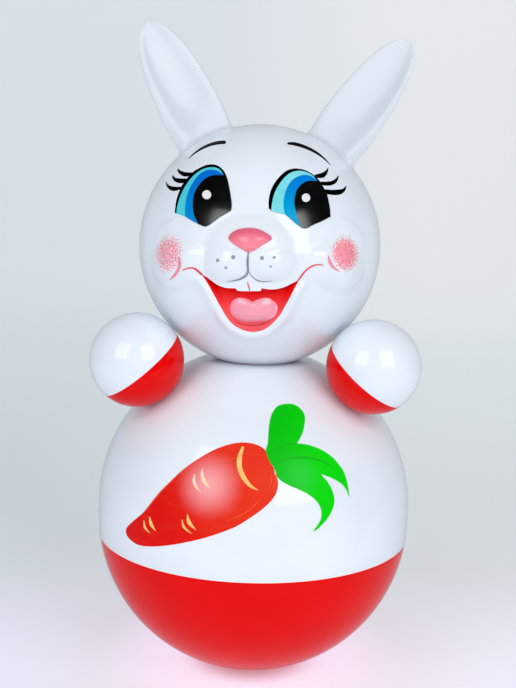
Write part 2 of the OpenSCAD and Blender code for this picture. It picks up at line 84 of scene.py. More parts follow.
# Ears, with shares along the length from the foot to the tip. The seat's share is of the ball's rings.
EAR_LEN = 77 * MM
EAR_W = 36.4 * MM
EAR_BACK = 7 * MM
EAR_EDGE = 2 * MM
EAR_SCOOP = 1.0 * MM
EAR_SCOOP_FROM = 0.04
EAR_SCOOP_RUN = 0.3
EAR_SCOOP_POWER = 3
EAR_LEAF_POWER = 2.8
EAR_WAIST = 0.06
EAR_WAIST_RUN = 0.25
EAR_TIP_THIN = 0.45
EAR_TIP_RUN = 0.25
EAR_SEAT_SHARE = 0.06
EAR_FLARE = 1.6 * MM
EAR_FLARE_SHARE = 0.06
EAR_FLARE_POWER = 3
EAR_AROUND = 96
EAR_RINGS = 180
# The raised rim at the ear's outer side: height, place and width across it, each at the foot and at the tip
EAR_RIM = (3.0 * MM, 1.5 * MM)
EAR_RIM_AT = (0.7, 0.86)
EAR_RIM_W = (0.27, 0.14)
EAR_RIM_RUN = 0.7
EAR_RIM_INWARD = 1.6
EAR_RIM_POWER = 0.3
EAR_TOE_IN = math.radians(22)
EAR_LEANS = {"right_ear": math.radians(-28.3), "left_ear": math.radians(34.6)}

# Hands, with -1 for the toy's right side and 1 for its left
HAND_R = 28.1 * MM
HAND_WALL = 1.6 * MM
HAND_IN = HAND_R - HAND_WALL
HAND_SEAT = 2 * MM
HAND_LIFT = BODY_R + HAND_R - HAND_SEAT
HAND_GAP = 1.8 * MM
HAND_REACH = HEAD_R + HAND_R + HAND_GAP
HAND_RAISE = math.asin((HAND_LIFT ** 2 + HEAD_LIFT ** 2 - HAND_REACH ** 2) / (2 * HAND_LIFT * HEAD_LIFT))
HAND_FORWARD = math.radians(28)
HAND_SEAMS = {-1: 3.7 * MM, 1: 6.2 * MM}
HAND_SEAM_TILTS = {-1: math.radians(9), 1: math.radians(-7)}
HAND_CAP_EASE = 0.4 * MM
HAND_CUP_EASE = 0.3 * MM
HAND_RIM_H = 4 * MM
HAND_RIM_T = 1.4 * MM
HAND_BOSS_R = 6 * MM
HAND_BOSS_TOP = -HAND_R + 14.8 * MM
HAND_BOSS_T = 2 * MM
SCREW_HOLE_R = 1.55 * MM

# Meshes
SPIN_STEPS = 192
HAND_SPIN_STEPS = 128
EASE_SHARE = 0.45
WELD = 0.001 * MM

# The photo's view
PHOTO_W = 516
PHOTO_H = 688
FOCAL_PX = 1100
SENSOR = 36
CAMERA_AT = np.array((21.5, -680.0, 310.9)) * MM
CAMERA_YAW = math.radians(1.78)
CAMERA_PITCH = math.radians(-8.79)
CAMERA_ROLL = math.radians(-1.45)
VIEW_TURN = (Matrix.Rotation(CAMERA_YAW, 3, "Z") @ Matrix.Rotation(math.pi / 2 + CAMERA_PITCH, 3, "X")
             @ Matrix.Rotation(-CAMERA_ROLL, 3, "Z"))
VIEW_AXES = np.array(VIEW_TURN)

# Paint, with sizes in the photo's pixels where the name ends in PX
BROW_FULL = 1.2
BRUSH_LEAST_PX = 0.15
BRUSH_CAP_POINTS = 5
FILM_GRID_PX = 3.0
FINE_GRID_PX = 1.6
BELLY_GRID_PX = 6.0
FILM_WELD_PX = 0.02
PAINT_T = 0.05 * MM
PAINT_LAYER = 0.08 * MM
PAINT_LIFT = 0.18 * MM


# Outlines of the face and the carrot in the photo's pixels, some with a width at each point.
# Left and right are the toy's own.

RIGHT_EYE = {
    "lid": [(174.8, 212.9), (175.2, 207.7), (176.3, 200.4), (178.5, 193.1), (182.1, 185.0), (187.3, 177.7),
            (193.1, 171.8), (199.7, 167.8), (205.6, 165.2), (211.5, 164.3), (216.6, 165.2), (221.0, 167.8),
            (224.7, 172.2), (227.2, 178.4), (229.1, 186.5), (230.5, 194.5), (231.6, 202.6), (231.6, 207.7),
            (230.9, 210.8)],
    "base": [(230.9, 210.8), (219.5, 217.3), (213.7, 221.7), (209.3, 225.0), (204.9, 226.6), (199.7, 224.7),
             (190.2, 219.8), (185.1, 216.5), (177.0, 213.6), (174.8, 212.9)],
    "turquoise": [(176.4, 213.6), (177.0, 207.7), (178.8, 200.4), (181.3, 193.8), (185.1, 186.5),
                  (190.2, 179.1), (196.1, 173.3), (201.9, 169.6), (207.8, 167.5), (213.7, 167.2),
                  (218.1, 168.5), (221.0, 171.1), (223.3, 174.6)],
    "blue": [(185.1, 216.7), (185.1, 209.2), (185.8, 201.9), (187.3, 194.5), (190.2, 187.2), (194.6, 179.9),
             (199.7, 174.0), (205.6, 170.7), (211.5, 169.6), (217.3, 170.7), (221.0, 172.9),
             (223.5, 174.9)],
    "pupil": [(198.4, 224.4), (194.6, 216.5), (192.8, 209.2), (192.8, 201.9), (193.9, 194.5),
              (196.8, 187.9), (201.9, 181.3), (207.8, 176.9), (213.7, 175.1), (218.8, 174.9),
              (223.9, 175.3)],
    "blue_fade": ((195, 224), (212, 172)),
    "glint": (206.7, 194.7, 4.5),
    "brow": [(188.4, 158.6, 0.5), (194.6, 153.1, 1.2), (201.9, 148.3, 1.9), (209.3, 144.9, 2.4),
             (217.3, 142.8, 2.9), (224.2, 142.2, 2.9)],
    "lashes": [
        [(193.6, 172.7), (186.5, 172.2), (180.7, 170.7), (177.9, 168.3), (177.6, 171.1), (179.6, 174.0),
         (183.6, 176.2), (187.3, 176.3), (191.9, 174.6)],
        [(188.4, 179.0), (180.7, 178.4), (175.5, 177.7), (172.5, 175.1), (172.5, 178.4), (174.2, 181.0),
         (177.7, 182.8), (180.7, 183.2), (185.3, 182.2)],
        [(183.3, 186.9), (177.0, 186.8), (171.1, 186.1), (167.5, 183.9), (165.9, 181.3), (166.2, 184.6),
         (167.8, 187.9), (171.1, 190.5), (174.8, 191.0), (178.5, 189.8), (181.7, 188.9)],
    ],
}

LEFT_EYE = {
    "lid": [(268.8, 209.0), (268.6, 201.9), (269.7, 194.5), (272.2, 187.2), (276.3, 180.6), (281.4, 174.7),
            (287.3, 170.3), (293.9, 168.5), (299.0, 168.7), (304.9, 170.0), (310.7, 172.9), (315.9, 176.9),
            (320.3, 181.7), (323.9, 187.9), (326.9, 193.8), (328.7, 201.1), (330.2, 209.2), (330.4, 214.3),
            (330.9, 216.5)],
    "base": [(330.9, 216.5), (321.0, 221.7), (313.7, 224.6), (307.8, 227.9), (304.9, 228.6), (301.2, 227.5),
             (296.1, 223.9), (290.2, 218.7), (285.1, 214.3), (271.9, 211.2), (270.4, 209.4),
             (268.8, 209.0)],
    "turquoise": [(271.3, 211.2), (271.7, 206.3), (273.0, 198.2), (275.5, 190.9), (279.2, 184.3),
                  (284.3, 177.7), (289.5, 173.3), (295.3, 171.1), (301.9, 170.9), (307.8, 172.5),
                  (312.9, 175.8), (316.7, 180.2)],
    "blue": [(285.1, 214.5), (283.6, 207.7), (283.6, 200.4), (285.1, 193.1), (287.3, 187.2), (291.7, 180.6),
             (297.5, 176.6), (303.4, 174.9), (309.3, 175.5), (313.7, 177.7), (317.2, 180.7)],
    "pupil": [(300.8, 227.4), (297.5, 218.0), (295.3, 209.2), (294.2, 201.9), (295.0, 196.0),
              (296.8, 190.1), (300.5, 185.0), (305.6, 181.7), (310.7, 180.6), (317.3, 181.1)],
    "blue_fade": ((296, 224), (305, 177)),
    "glint": (306.0, 197.7, 4.2),
    "brow": [(288.4, 143.4, 1.9), (293.9, 143.7, 2.7), (301.9, 145.8, 2.7), (310.7, 149.4, 2.4),
             (318.8, 154.2, 1.8), (324.7, 159.0, 1.2), (330.5, 164.8, 0.4)],
    "lashes": [
        [(314.4, 175.1), (319.5, 173.6), (323.9, 171.8), (327.2, 168.9), (328.2, 166.7), (328.2, 170.0),
         (327.2, 173.6), (324.7, 176.9), (321.4, 178.0), (316.7, 177.6)],
        [(319.7, 181.9), (325.4, 181.7), (331.3, 181.0), (336.0, 178.4), (338.4, 175.3), (338.2, 178.8),
         (336.0, 182.8), (332.0, 185.0), (327.6, 185.6), (322.0, 185.0)],
        [(324.6, 189.6), (331.3, 189.8), (337.9, 189.5), (343.0, 188.7), (346.1, 185.7), (345.9, 188.7),
         (344.1, 192.0), (340.1, 194.5), (334.2, 195.1), (329.8, 194.5), (325.9, 193.5)],
    ],
}

# Parts of an eye's base line that lie under its turquoise and its blue
TURQUOISE_BASE = slice(4, -1)
BLUE_BASE = slice(4, -2)

NOSE = [(228.3, 238.4), (229.4, 235.3), (232.1, 232.2), (237.4, 229.3), (245.1, 227.9), (250.8, 227.7),
        (257.5, 228.6), (264.2, 231.3), (269.9, 235.1), (271.9, 238.2), (270.9, 240.1), (266.1, 243.2),
        (260.4, 246.6), (254.6, 250.4), (250.8, 252.1), (248.4, 252.5), (246.0, 251.8), (241.2, 249.0),
        (235.5, 245.6), (230.7, 241.8)]
LIP_STEM = [(248.3, 252.8, 1.6), (247.8, 258.0, 2.1), (247.6, 264.7, 2.2), (247.9, 271.0, 2.4),
            (246.0, 275.3, 2.1), (241.2, 278.6, 1.8), (235.5, 280.5, 1.2), (226.9, 281.8, 0.3)]
LIP_BRANCH = [(249.1, 272.2, 0.5), (252.7, 277.2, 0.9), (257.5, 280.5, 1.2), (263.2, 281.7, 0.9),
              (271.4, 281.2, 0.3)]
WHISKER_DOTS = [(217.6, 260.3, 1.6), (225.9, 267.8, 1.3), (233.1, 257.1, 2.1), (262.0, 258.0, 1.9),
                (274.2, 257.4, 1.4), (270.6, 266.6, 1.1)]
MOUTH_UPPER_RIGHT = [(200.6, 273.5), (206.8, 277.2), (212.5, 281.5), (218.3, 285.3), (225.0, 287.7),
                     (231.7, 288.2), (235.5, 288.2)]
MOUTH_TEETH = [(235.5, 288.2), (237.6, 290.6), (241.2, 291.1), (248.9, 291.2), (256.5, 291.1),
               (260.6, 290.8), (261.4, 288.2)]
MOUTH_UPPER_LEFT = [(261.4, 288.2), (266.1, 288.9), (272.8, 289.4), (279.5, 288.5), (286.2, 286.3),
                    (291.9, 283.4), (296.7, 281.0), (299.6, 278.3)]
MOUTH_LOWER = [(299.6, 278.3), (298.1, 282.0), (294.8, 287.7), (291.0, 295.4), (285.2, 305.9),
               (280.4, 314.5), (274.7, 321.2), (269.0, 326.5), (262.3, 330.3), (256.5, 331.7),
               (250.8, 331.9), (245.1, 330.8), (239.3, 328.4), (232.6, 324.1), (226.9, 317.4),
               (221.1, 307.8), (216.4, 299.2), (210.6, 288.7), (205.8, 280.5), (200.6, 273.5)]
CORNER_RIGHT = [(182.4, 270.3, 0.9), (186.7, 268.6, 1.3), (192.4, 268.1, 1.5), (197.2, 270.5, 2.0),
                (201.6, 274.4, 2.0)]
CORNER_LEFT = [(298.9, 279.6, 1.6), (303.4, 273.4, 1.6), (308.2, 268.6, 1.6), (313.9, 265.5, 1.5),
               (318.7, 264.7, 1.3), (324.0, 265.2, 0.6)]
TONGUE = [(229.7, 309.2), (230.7, 304.0), (233.6, 300.1), (238.4, 297.8), (244.1, 298.0), (248.9, 299.7),
          (252.2, 301.6), (255.6, 300.1), (261.3, 298.2), (267.1, 297.8), (271.8, 299.7), (276.6, 304.0),
          (277.6, 309.2), (275.7, 315.4), (269.9, 319.8), (262.3, 321.7), (252.7, 322.3), (243.1, 321.7),
          (235.5, 318.8), (231.2, 314.5)]
TONGUE_LINE = [(233.6, 321.2, 0.3), (241.2, 324.1, 0.6), (248.9, 325.5, 0.7), (258.4, 325.2, 0.7),
               (266.1, 323.1, 0.6), (270.9, 320.7, 0.3)]
TOOTH_LINE = [(247.7, 282.3, 0.8), (248.4, 285.8, 1.2), (249.9, 290.8, 0.7)]
BLUSH_STROKES = [
    [(178.6, 257.4, 0.8), (179.6, 262.4, 2.6), (178.4, 269.0, 3.2), (175.0, 274.8, 2.8),
     (169.6, 280.0, 0.6)],
    [(328.6, 255.8, 0.8), (329.4, 260.4, 3.0), (332.4, 266.4, 3.0), (339.0, 271.4, 0.8)],
]
NOSE_FADE = ((249, 229), (249, 246))
# The mouth's red runs from dark under the upper lip to light on the lower wall: painted shade and light
MOUTH_SHADE_FADE = ((250, 292), (250, 325))
TONGUE_FADE = ((252, 299), (252, 322))
# Sponged blush: middle, half width, half height and how full its middle is
BLUSH = {"right": (168.2, 253.4, 15.8, 20.6, 0.24), "left": (345.6, 253.4, 15.6, 19.4, 0.5)}

CARROT_ROOT = [(267.0, 452.4), (262.3, 447.6), (255.1, 444.1), (245.5, 442.5), (234.4, 443.2),
               (221.6, 446.8), (208.9, 452.4), (194.5, 461.2), (181.7, 470.7), (170.6, 481.1),
               (159.4, 492.3), (149.9, 504.2), (143.5, 512.2), (137.1, 517.8), (130.7, 523.3),
               (126.7, 527.7), (125.9, 532.1), (127.2, 536.1), (130.7, 540.1), (136.3, 544.1),
               (143.5, 546.1), (154.6, 546.5), (169.0, 545.2), (184.9, 542.5), (202.5, 538.5),
               (220.0, 532.9), (236.0, 526.5), (250.3, 517.8), (261.5, 509.8), (270.2, 501.8),
               (275.8, 493.9), (277.9, 485.9), (277.7, 479.5), (275.0, 474.7), (273.4, 467.5),
               (269.4, 461.2), (267.8, 456.4)]
CARROT_LEAVES = [
    [(265.5, 450.8), (267.8, 442.8), (268.6, 431.7), (269.9, 420.5), (272.6, 412.5), (277.4, 406.2),
     (285.4, 403.8), (293.4, 404.2), (300.5, 408.6), (304.5, 414.9), (304.8, 422.1), (302.9, 431.7),
     (299.7, 438.8), (296.9, 443.3)],
    [(296.9, 443.3), (307.7, 444.7), (320.5, 449.2), (331.6, 456.4), (339.6, 465.2), (344.4, 473.1),
     (347.6, 484.3), (349.6, 497.4)],
    [(349.6, 497.4), (346.0, 489.1), (341.2, 483.5), (333.2, 478.7), (326.8, 476.0), (320.8, 473.9)],
    [(320.8, 473.9), (327.6, 481.9), (332.4, 490.7), (334.5, 500.2), (332.4, 509.8), (326.8, 519.4),
     (318.9, 528.1), (312.8, 531.8)],
    [(312.8, 531.8), (317.3, 525.7), (320.8, 519.4), (321.7, 513.0), (320.1, 506.6), (315.7, 500.2),
     (307.7, 493.9), (298.1, 489.1), (288.6, 485.1), (280.6, 480.3), (276.6, 475.5), (273.4, 466.7),
     (269.4, 461.2), (265.5, 450.8)],
]
CARROT_STROKES = [
    [(242.7, 447.6, 2.4), (239.9, 456.4, 4.6), (239.3, 465.2, 5.0), (241.5, 473.1, 5.0),
     (245.5, 480.3, 4.3), (251.1, 486.4, 3.0), (258.3, 490.2, 0.5)],
    [(194.5, 474.7, 1.2), (194.0, 481.1, 2.8), (196.1, 486.7, 2.5), (200.6, 491.9, 0.4)],
    [(202.5, 468.3, 0.5), (202.0, 474.7, 3.0), (204.4, 481.9, 3.9), (210.1, 487.8, 0.4)],
    [(143.8, 520.6, 0.8), (144.9, 527.3, 2.2), (149.5, 533.1, 0.4)],
    [(149.5, 516.7, 0.6), (151.0, 524.1, 3.2), (155.6, 531.0, 0.4)],
    [(182.1, 520.0, 0.8), (184.0, 527.3, 2.5), (191.6, 533.6, 0.4)],
    [(187.3, 514.3, 0.6), (189.2, 522.6, 3.8), (195.9, 530.0, 0.4)],
]
# Strokes that lie in the carrot's painted highlight, painted paler with it
HIGHLIT_STROKES = (2, 3)
CARROT_FADE = ((150, 520), (275, 480))
# Painted highlight on the carrot: a lamp's reflection put into its colour as a round pale spot, and its
# radius
CARROT_HIGHLIGHT = (209, 485)
CARROT_HIGHLIGHT_R = 21.5 * MM
CARROT_TURN = (0, math.radians(-38), 0)
LEAF_FADE = ((276, 466), (330, 470))
# Painted highlight on the leaf: a lamp's reflection put into its colour, and its radius
LEAF_HIGHLIGHT = (299, 475)
LEAF_HIGHLIGHT_R = 15 * MM
CARROT_STREAKS = [
    [(225.6, 521.6, 0.3), (246.0, 512.4, 0.8), (258.3, 501.2, 0.7), (264.4, 494.1, 0.2)],
    [(275.4, 469.6, 0.4), (276.3, 479.8, 1.0), (272.6, 491.0, 0.3)],
    [(270.5, 471.6, 0.3), (271.5, 481.8, 0.7), (267.4, 492.0, 0.2)],
    [(229.7, 461.4, 0.3), (235.8, 457.3, 0.5), (246.0, 453.8, 0.4), (264.4, 455.3, 0.5)],
    [(146.5, 509.8, 0.3), (162.8, 490.0, 0.8), (181.2, 472.2, 0.8), (196.5, 461.2, 0.3)],
]
LEAF_STREAKS = [
    [(267.5, 456.8, 1.0), (277.0, 448.8, 2.2), (287.0, 444.4, 2.0), (297.2, 443.6, 0.5)],
    [(271.4, 464.6, 0.8), (288.0, 458.6, 1.8), (306.0, 457.6, 2.2), (321.0, 460.8, 1.6),
     (334.0, 467.6, 0.4)],
]

# Swells of the face: middle, then reach to the picture's left and right, up and down, all in its pixels,
# height in metres and fullness
SWELLS = {
    "eye_field": (257.0, 243.0, 160.0, 160.0, 54.0, 54.0, 3.0 * MM, 2),
    "lower_face": (256.0, 283.0, 106.0, 106.0, 70.0, 70.0, 4.5 * MM, 2.5),
    "muzzle": (250.0, 249.0, 53.0, 53.0, 40.5, 40.5, 9.5 * MM, 2),
    "right_lip": (227.0, 264.0, 33.0, 33.0, 27.0, 27.0, 9.5 * MM, 2),
    "left_lip": (272.0, 264.0, 33.0, 33.0, 27.0, 27.0, 9.5 * MM, 2),
    "right_cheek": (169.0, 266.0, 19.0, 52.0, 35.0, 32.0, 8.5 * MM, 2),
    "left_cheek": (344.0, 267.0, 52.0, 21.0, 35.0, 32.0, 8.5 * MM, 2),
    "chin": (251.0, 316.0, 60.0, 60.0, 38.0, 38.0, 6.0 * MM, 2),
}
SWELL_BLEND = 0.8 * MM
# Soft folds from the cheeks to the muzzle: middle and half sizes
CHEEK_FOLDS = [(190.0, 250.5, 17.0, 7.0), (321.0, 253.0, 20.0, 7.0)]
CHEEK_FOLD_H = 1.0 * MM
# The step where the cheeks leave the round head: middle, reach to the sides, up and down, and how far out
# to the sides it begins, with the run over which it comes in
CHEEK_EDGE_MIDDLE = (259.0, 260.0)
CHEEK_EDGE_REACH = (107.5, 48.0, 34.0)
CHEEK_EDGE_FROM = (78.0, 14.0)
CHEEK_EDGE_WIDTH = 0.03
CHEEK_EDGE_H = 1.1 * MM
MOUTH_MIDDLE = (250.0, 303.0)
MOUTH_DEEP = 5.0 * MM
MOUTH_WALL_SHARE = 0.3
MOUTH_CUT = (14 * MM, -16 * MM)
# Ridge of the lower lip: height, distance from the mouth's line and half width
LIP_RIDGE = 2.9 * MM
LIP_RIDGE_PX = (5.6, 4.0)
LIP_RIDGE_FADE_PX = 12
NOSE_MIDDLE = (249.5, 238.5)
NOSE_H = 3.2 * MM
NOSE_PAD = (3, 0.75)
NOSE_UNDER_SHARE = 0.9
TONGUE_MIDDLE = (253.0, 310.0)
TONGUE_H = 3.6 * MM
TONGUE_RISE = 0.045
TONGUE_PAD = (3, 0.7)
FACE_PX = (140.0, 150.0, 385.0, 366.0)
# How squarely a place faces the view where the relief begins, and the run over which it comes in
FACE_FADE = (0.12, 0.2)


# Curves

def smooth_curve(points, per_span=5):
    """A curve through the points, as an array."""
    p = np.array(points, float)
    p = np.vstack((2 * p[0] - p[1], p, 2 * p[-1] - p[-2]))
    t = np.linspace(0, 1, per_span, endpoint=False)[:, None]
    spans = []
    for a, b, c, d in zip(p, p[1:], p[2:], p[3:]):
        spans.append(0.5 * (2 * b + (c - a) * t + (2 * a - 5 * b + 4 * c - d) * t ** 2
                            + (3 * b - a - 3 * c + d) * t ** 3))
    return np.vstack(spans + [p[-2:-1]])


def closed_curve(points, per_span=5):
    p = list(points)
    return smooth_curve(p[-2:] + p + p[:2], per_span)[2 * per_span:-2 * per_span]


def joined(*curves):
    """Curves put end to end round a piece, with a corner where two meet."""
    parts = [smooth_curve(c) for c in curves]
    return np.vstack([c[:-1] for c in parts])


def disc(x, y, r, points=28):
    a = np.linspace(0, 2 * math.pi, points, endpoint=False)
    return np.column_stack((x + r * np.cos(a), y + r * np.sin(a)))


def brush(points, per_span=5):
    """Outline of a brush stroke through points with a width each."""
    p = smooth_curve(points, per_span)
    middle, half = p[:, :2], np.maximum(p[:, 2], BRUSH_LEAST_PX) / 2
    along = np.gradient(middle, axis=0)
    along /= np.linalg.norm(along, axis=1)[:, None]
    side = np.column_stack((-along[:, 1], along[:, 0]))
    turn = np.linspace(-math.pi / 2, math.pi / 2, BRUSH_CAP_POINTS + 2)[1:-1]

    def cap(i, sign):
        return [middle[i] + sign * half[i] * (along[i] * math.cos(a) - side[i] * math.sin(a)) for a in turn]

    one, other = middle + side * half[:, None], middle - side * half[:, None]
    return np.vstack((one, cap(-1, 1), other[::-1], cap(0, -1)))


def reach_share(u, v, outline, middle):
    """Share of the way from a middle to the outline round it."""
    x, y = outline[:, 0] - middle[0], outline[:, 1] - middle[1]
    angle = np.arctan2(y, x)
    order = np.argsort(angle)
    reach = np.interp(np.arctan2(v - middle[1], u - middle[0]), angle[order], np.hypot(x, y)[order],
                      period=2 * math.pi)
    return np.hypot(u - middle[0], v - middle[1]) / reach


def path_distance(u, v, path):
    near = np.full(u.shape, np.inf)
    for (ax, ay), (bx, by) in zip(path, path[1:]):
        ex, ey = bx - ax, by - ay
        t = np.clip(((u - ax) * ex + (v - ay) * ey) / max(ex * ex + ey * ey, 1e-9), 0, 1)
        near = np.minimum(near, np.hypot(u - ax - t * ex, v - ay - t * ey))
    return near


def ease(x):
    x = np.clip(x, 0, 1)
    return x * x * (3 - 2 * x)


def pillow(share, fullness, edge):
    """Height share of a rounded pad: 1 in the middle, 0 at its outline."""
    return np.maximum(1 - share ** fullness, 0) ** edge


def between(pair, share):
    """A value on the way from the first of a pair to the second."""
    return pair[0] + (pair[1] - pair[0]) * share


def blend_max(a, b, reach):
    return np.maximum(a, b) + np.maximum(reach - np.abs(a - b), 0) ** 2 / (4 * reach)


MOUTH_LINE = joined(MOUTH_UPPER_RIGHT, MOUTH_TEETH, MOUTH_UPPER_LEFT, MOUTH_LOWER)
MOUTH_LOWER_LINE = smooth_curve(MOUTH_LOWER)
NOSE_LINE = closed_curve(NOSE)
TONGUE_OUTLINE = closed_curve(TONGUE)


# Places seen through the photo's view

def pixel_rays(u, v):
    local = np.column_stack(((u - PHOTO_W / 2) / FOCAL_PX, (PHOTO_H / 2 - v) / FOCAL_PX, -np.ones(len(u))))
    rays = local @ VIEW_AXES.T
    return rays / np.linalg.norm(rays, axis=1)[:, None]


def to_pixels(points):
    local = (points - CAMERA_AT) @ VIEW_AXES
    depth = -local[:, 2]
    return PHOTO_W / 2 + FOCAL_PX * local[:, 0] / depth, PHOTO_H / 2 - FOCAL_PX * local[:, 1] / depth


def ball_hit(rays, centre, radius):
    back = CAMERA_AT - centre
    b = rays @ back
    return -b - np.sqrt(np.maximum(b * b - back @ back + radius * radius, 0))


def face_relief(u, v, nose=1.0):
    """Height of the moulded face over the round head, along the view."""
    height = np.zeros(u.shape)
    near = (u > FACE_PX[0]) & (v > FACE_PX[1]) & (u < FACE_PX[2]) & (v < FACE_PX[3])
    x, y = u[near], v[near]
    h = np.zeros(x.shape)
    for cx, cy, left, right, up, down, top, fullness in SWELLS.values():
        share = np.hypot((x - cx) / np.where(x < cx, left, right), (y - cy) / np.where(y < cy, up, down))
        h = blend_max(h, top * (1 - share ** fullness), SWELL_BLEND)
    for cx, cy, wide, tall in CHEEK_FOLDS:
        h += CHEEK_FOLD_H * np.exp(-((x - cx) / wide) ** 2 - ((y - cy) / tall) ** 2)
    across, down = x - CHEEK_EDGE_MIDDLE[0], y - CHEEK_EDGE_MIDDLE[1]
    wide, up_reach, down_reach = CHEEK_EDGE_REACH
    share = np.hypot((across / wide) ** 2, (down / np.where(down < 0, up_reach, down_reach)) ** 2) ** 0.5
    outside = ease((np.abs(across) - CHEEK_EDGE_FROM[0]) / CHEEK_EDGE_FROM[1])
    h += CHEEK_EDGE_H * ease((1 - share) / CHEEK_EDGE_WIDTH) * outside
    mouth = reach_share(x, y, MOUTH_LINE, MOUTH_MIDDLE)
    ridge = np.exp(-((path_distance(x, y, MOUTH_LOWER_LINE) - LIP_RIDGE_PX[0]) / LIP_RIDGE_PX[1]) ** 2)
    below = y - np.interp(x, *np.transpose(MOUTH_UPPER_RIGHT + MOUTH_TEETH[1:-1] + MOUTH_UPPER_LEFT))
    h += LIP_RIDGE * ridge * (mouth > 1) * ease(below / LIP_RIDGE_FADE_PX)
    h += nose * NOSE_H * pillow(reach_share(x, y, NOSE_LINE, NOSE_MIDDLE), *NOSE_PAD)
    height[near] = h
    return height


def seen_at(u, v, height):
    """Places on the head under pixels, raised along the view."""
    rays = pixel_rays(u, v)
    return CAMERA_AT + rays * (ball_hit(rays, HEAD_AT, HEAD_R) - height)[:, None]


def on_head(u, v, lift):
    return seen_at(u, v, face_relief(u, v) + lift)


def mouth_floor(u, v):
    mouth = reach_share(u, v, MOUTH_LINE, MOUTH_MIDDLE)
    return -MOUTH_DEEP * ease((1 - mouth) / MOUTH_WALL_SHARE)


def in_mouth(u, v, lift):
    return seen_at(u, v, face_relief(u, v) + mouth_floor(u, v) + lift - 2 * PAINT_LIFT)


def on_tongue(u, v, lift):
    rise = 1 + TONGUE_RISE * (v - TONGUE_MIDDLE[1])
    pad = TONGUE_H * rise * pillow(reach_share(u, v, TONGUE_OUTLINE, TONGUE_MIDDLE), *TONGUE_PAD)
    return in_mouth(u, v, pad + lift)


def on_belly(u, v, lift):
    rays = pixel_rays(u, v)
    far = ball_hit(rays, np.array((0, 0, DOME_Z)), BODY_R)
    z = CAMERA_AT[2] + far * rays[:, 2]
    flat = np.linalg.norm(rays[:, :2], axis=1)
    b = (rays[:, :2] @ CAMERA_AT[:2]) / flat ** 2
    c = (CAMERA_AT[:2] @ CAMERA_AT[:2] - BODY_R ** 2) / flat ** 2
    round_wall = -b - np.sqrt(np.maximum(b * b - c, 0))
    low = ball_hit(rays, np.array((0, 0, BOWL_Z)), BODY_R)
    far = np.where(z < DOME_Z, round_wall, far)
    z = CAMERA_AT[2] + far * rays[:, 2]
    far = np.where(z < BOWL_Z, low, far) - lift
    return CAMERA_AT + rays * far[:, None]


def head_spot(x, y):
    return on_head(np.array([float(x)]), np.array([float(y)]), 0)[0]


def belly_spot(x, y):
    return on_belly(np.array([float(x)]), np.array([float(y)]), 0)[0]


# Mesh work

def begin():
    bpy.ops.object.select_all(action="DESELECT")


def points_of(piece):
    flat = np.empty(len(piece.data.vertices) * 3)
    piece.data.vertices.foreach_get("co", flat)
    return flat.reshape(-1, 3)


def put_points(piece, points):
    piece.data.vertices.foreach_set("co", np.ascontiguousarray(points, float).ravel())
    piece.data.update()


def edit(piece):
    bpy.context.view_layer.objects.active = piece
    piece.select_set(True)
    bpy.ops.object.mode_set(mode="EDIT")
    bpy.ops.mesh.select_all(action="SELECT")


def leave():
    bpy.ops.object.mode_set(mode="OBJECT")


def done(piece, name, angle=35):
    """Turns faces outwards, smooths the piece and names it."""
    edit(piece)
    bpy.ops.mesh.normals_make_consistent(inside=False)
    leave()
    bpy.ops.object.shade_smooth_by_angle(angle=math.radians(angle))
    piece.name = name
    piece.data.name = name
    return piece


def arc(z, r, start, end, steps):
    """Points of an arc in a profile, angles in degrees from level."""
    a = np.radians(np.linspace(start, end, steps + 1))
    return [(r * math.cos(t), z + r * math.sin(t)) for t in a]


def eased(profile, corners, radius, steps=4):
    """Rounds the named corners of a closed profile."""
    out = []
    n = len(profile)
    for i, p in enumerate(profile):
        if i not in corners:
            out.append(p)
            continue
        q = Vector(p)
        before, after = Vector(profile[i - 1]) - q, Vector(profile[(i + 1) % n]) - q
        reach = min(radius, before.length * EASE_SHARE, after.length * EASE_SHARE)
        a, b = q + before.normalized() * reach, q + after.normalized() * reach
        for k in range(steps + 1):
            t = k / steps
            out.append(tuple(a * (1 - t) ** 2 + q * 2 * t * (1 - t) + b * t ** 2))
    return out


def spun(name, profile, place=Matrix.Identity(4), steps=SPIN_STEPS):
    """A closed profile turned once round Z, then put in its place."""
    begin()
    bpy.ops.mesh.primitive_circle_add(vertices=len(profile), radius=BODY_R)
    piece = bpy.context.object
    put_points(piece, [(x, 0, z) for x, z in profile])
    edit(piece)
    bpy.ops.mesh.spin(steps=steps, angle=2 * math.pi, center=(0, 0, 0), axis=(0, 0, 1))
    bpy.ops.mesh.select_all(action="SELECT")
    bpy.ops.mesh.remove_doubles(threshold=WELD)
    leave()
    piece.data.transform(place)
    return done(piece, name)


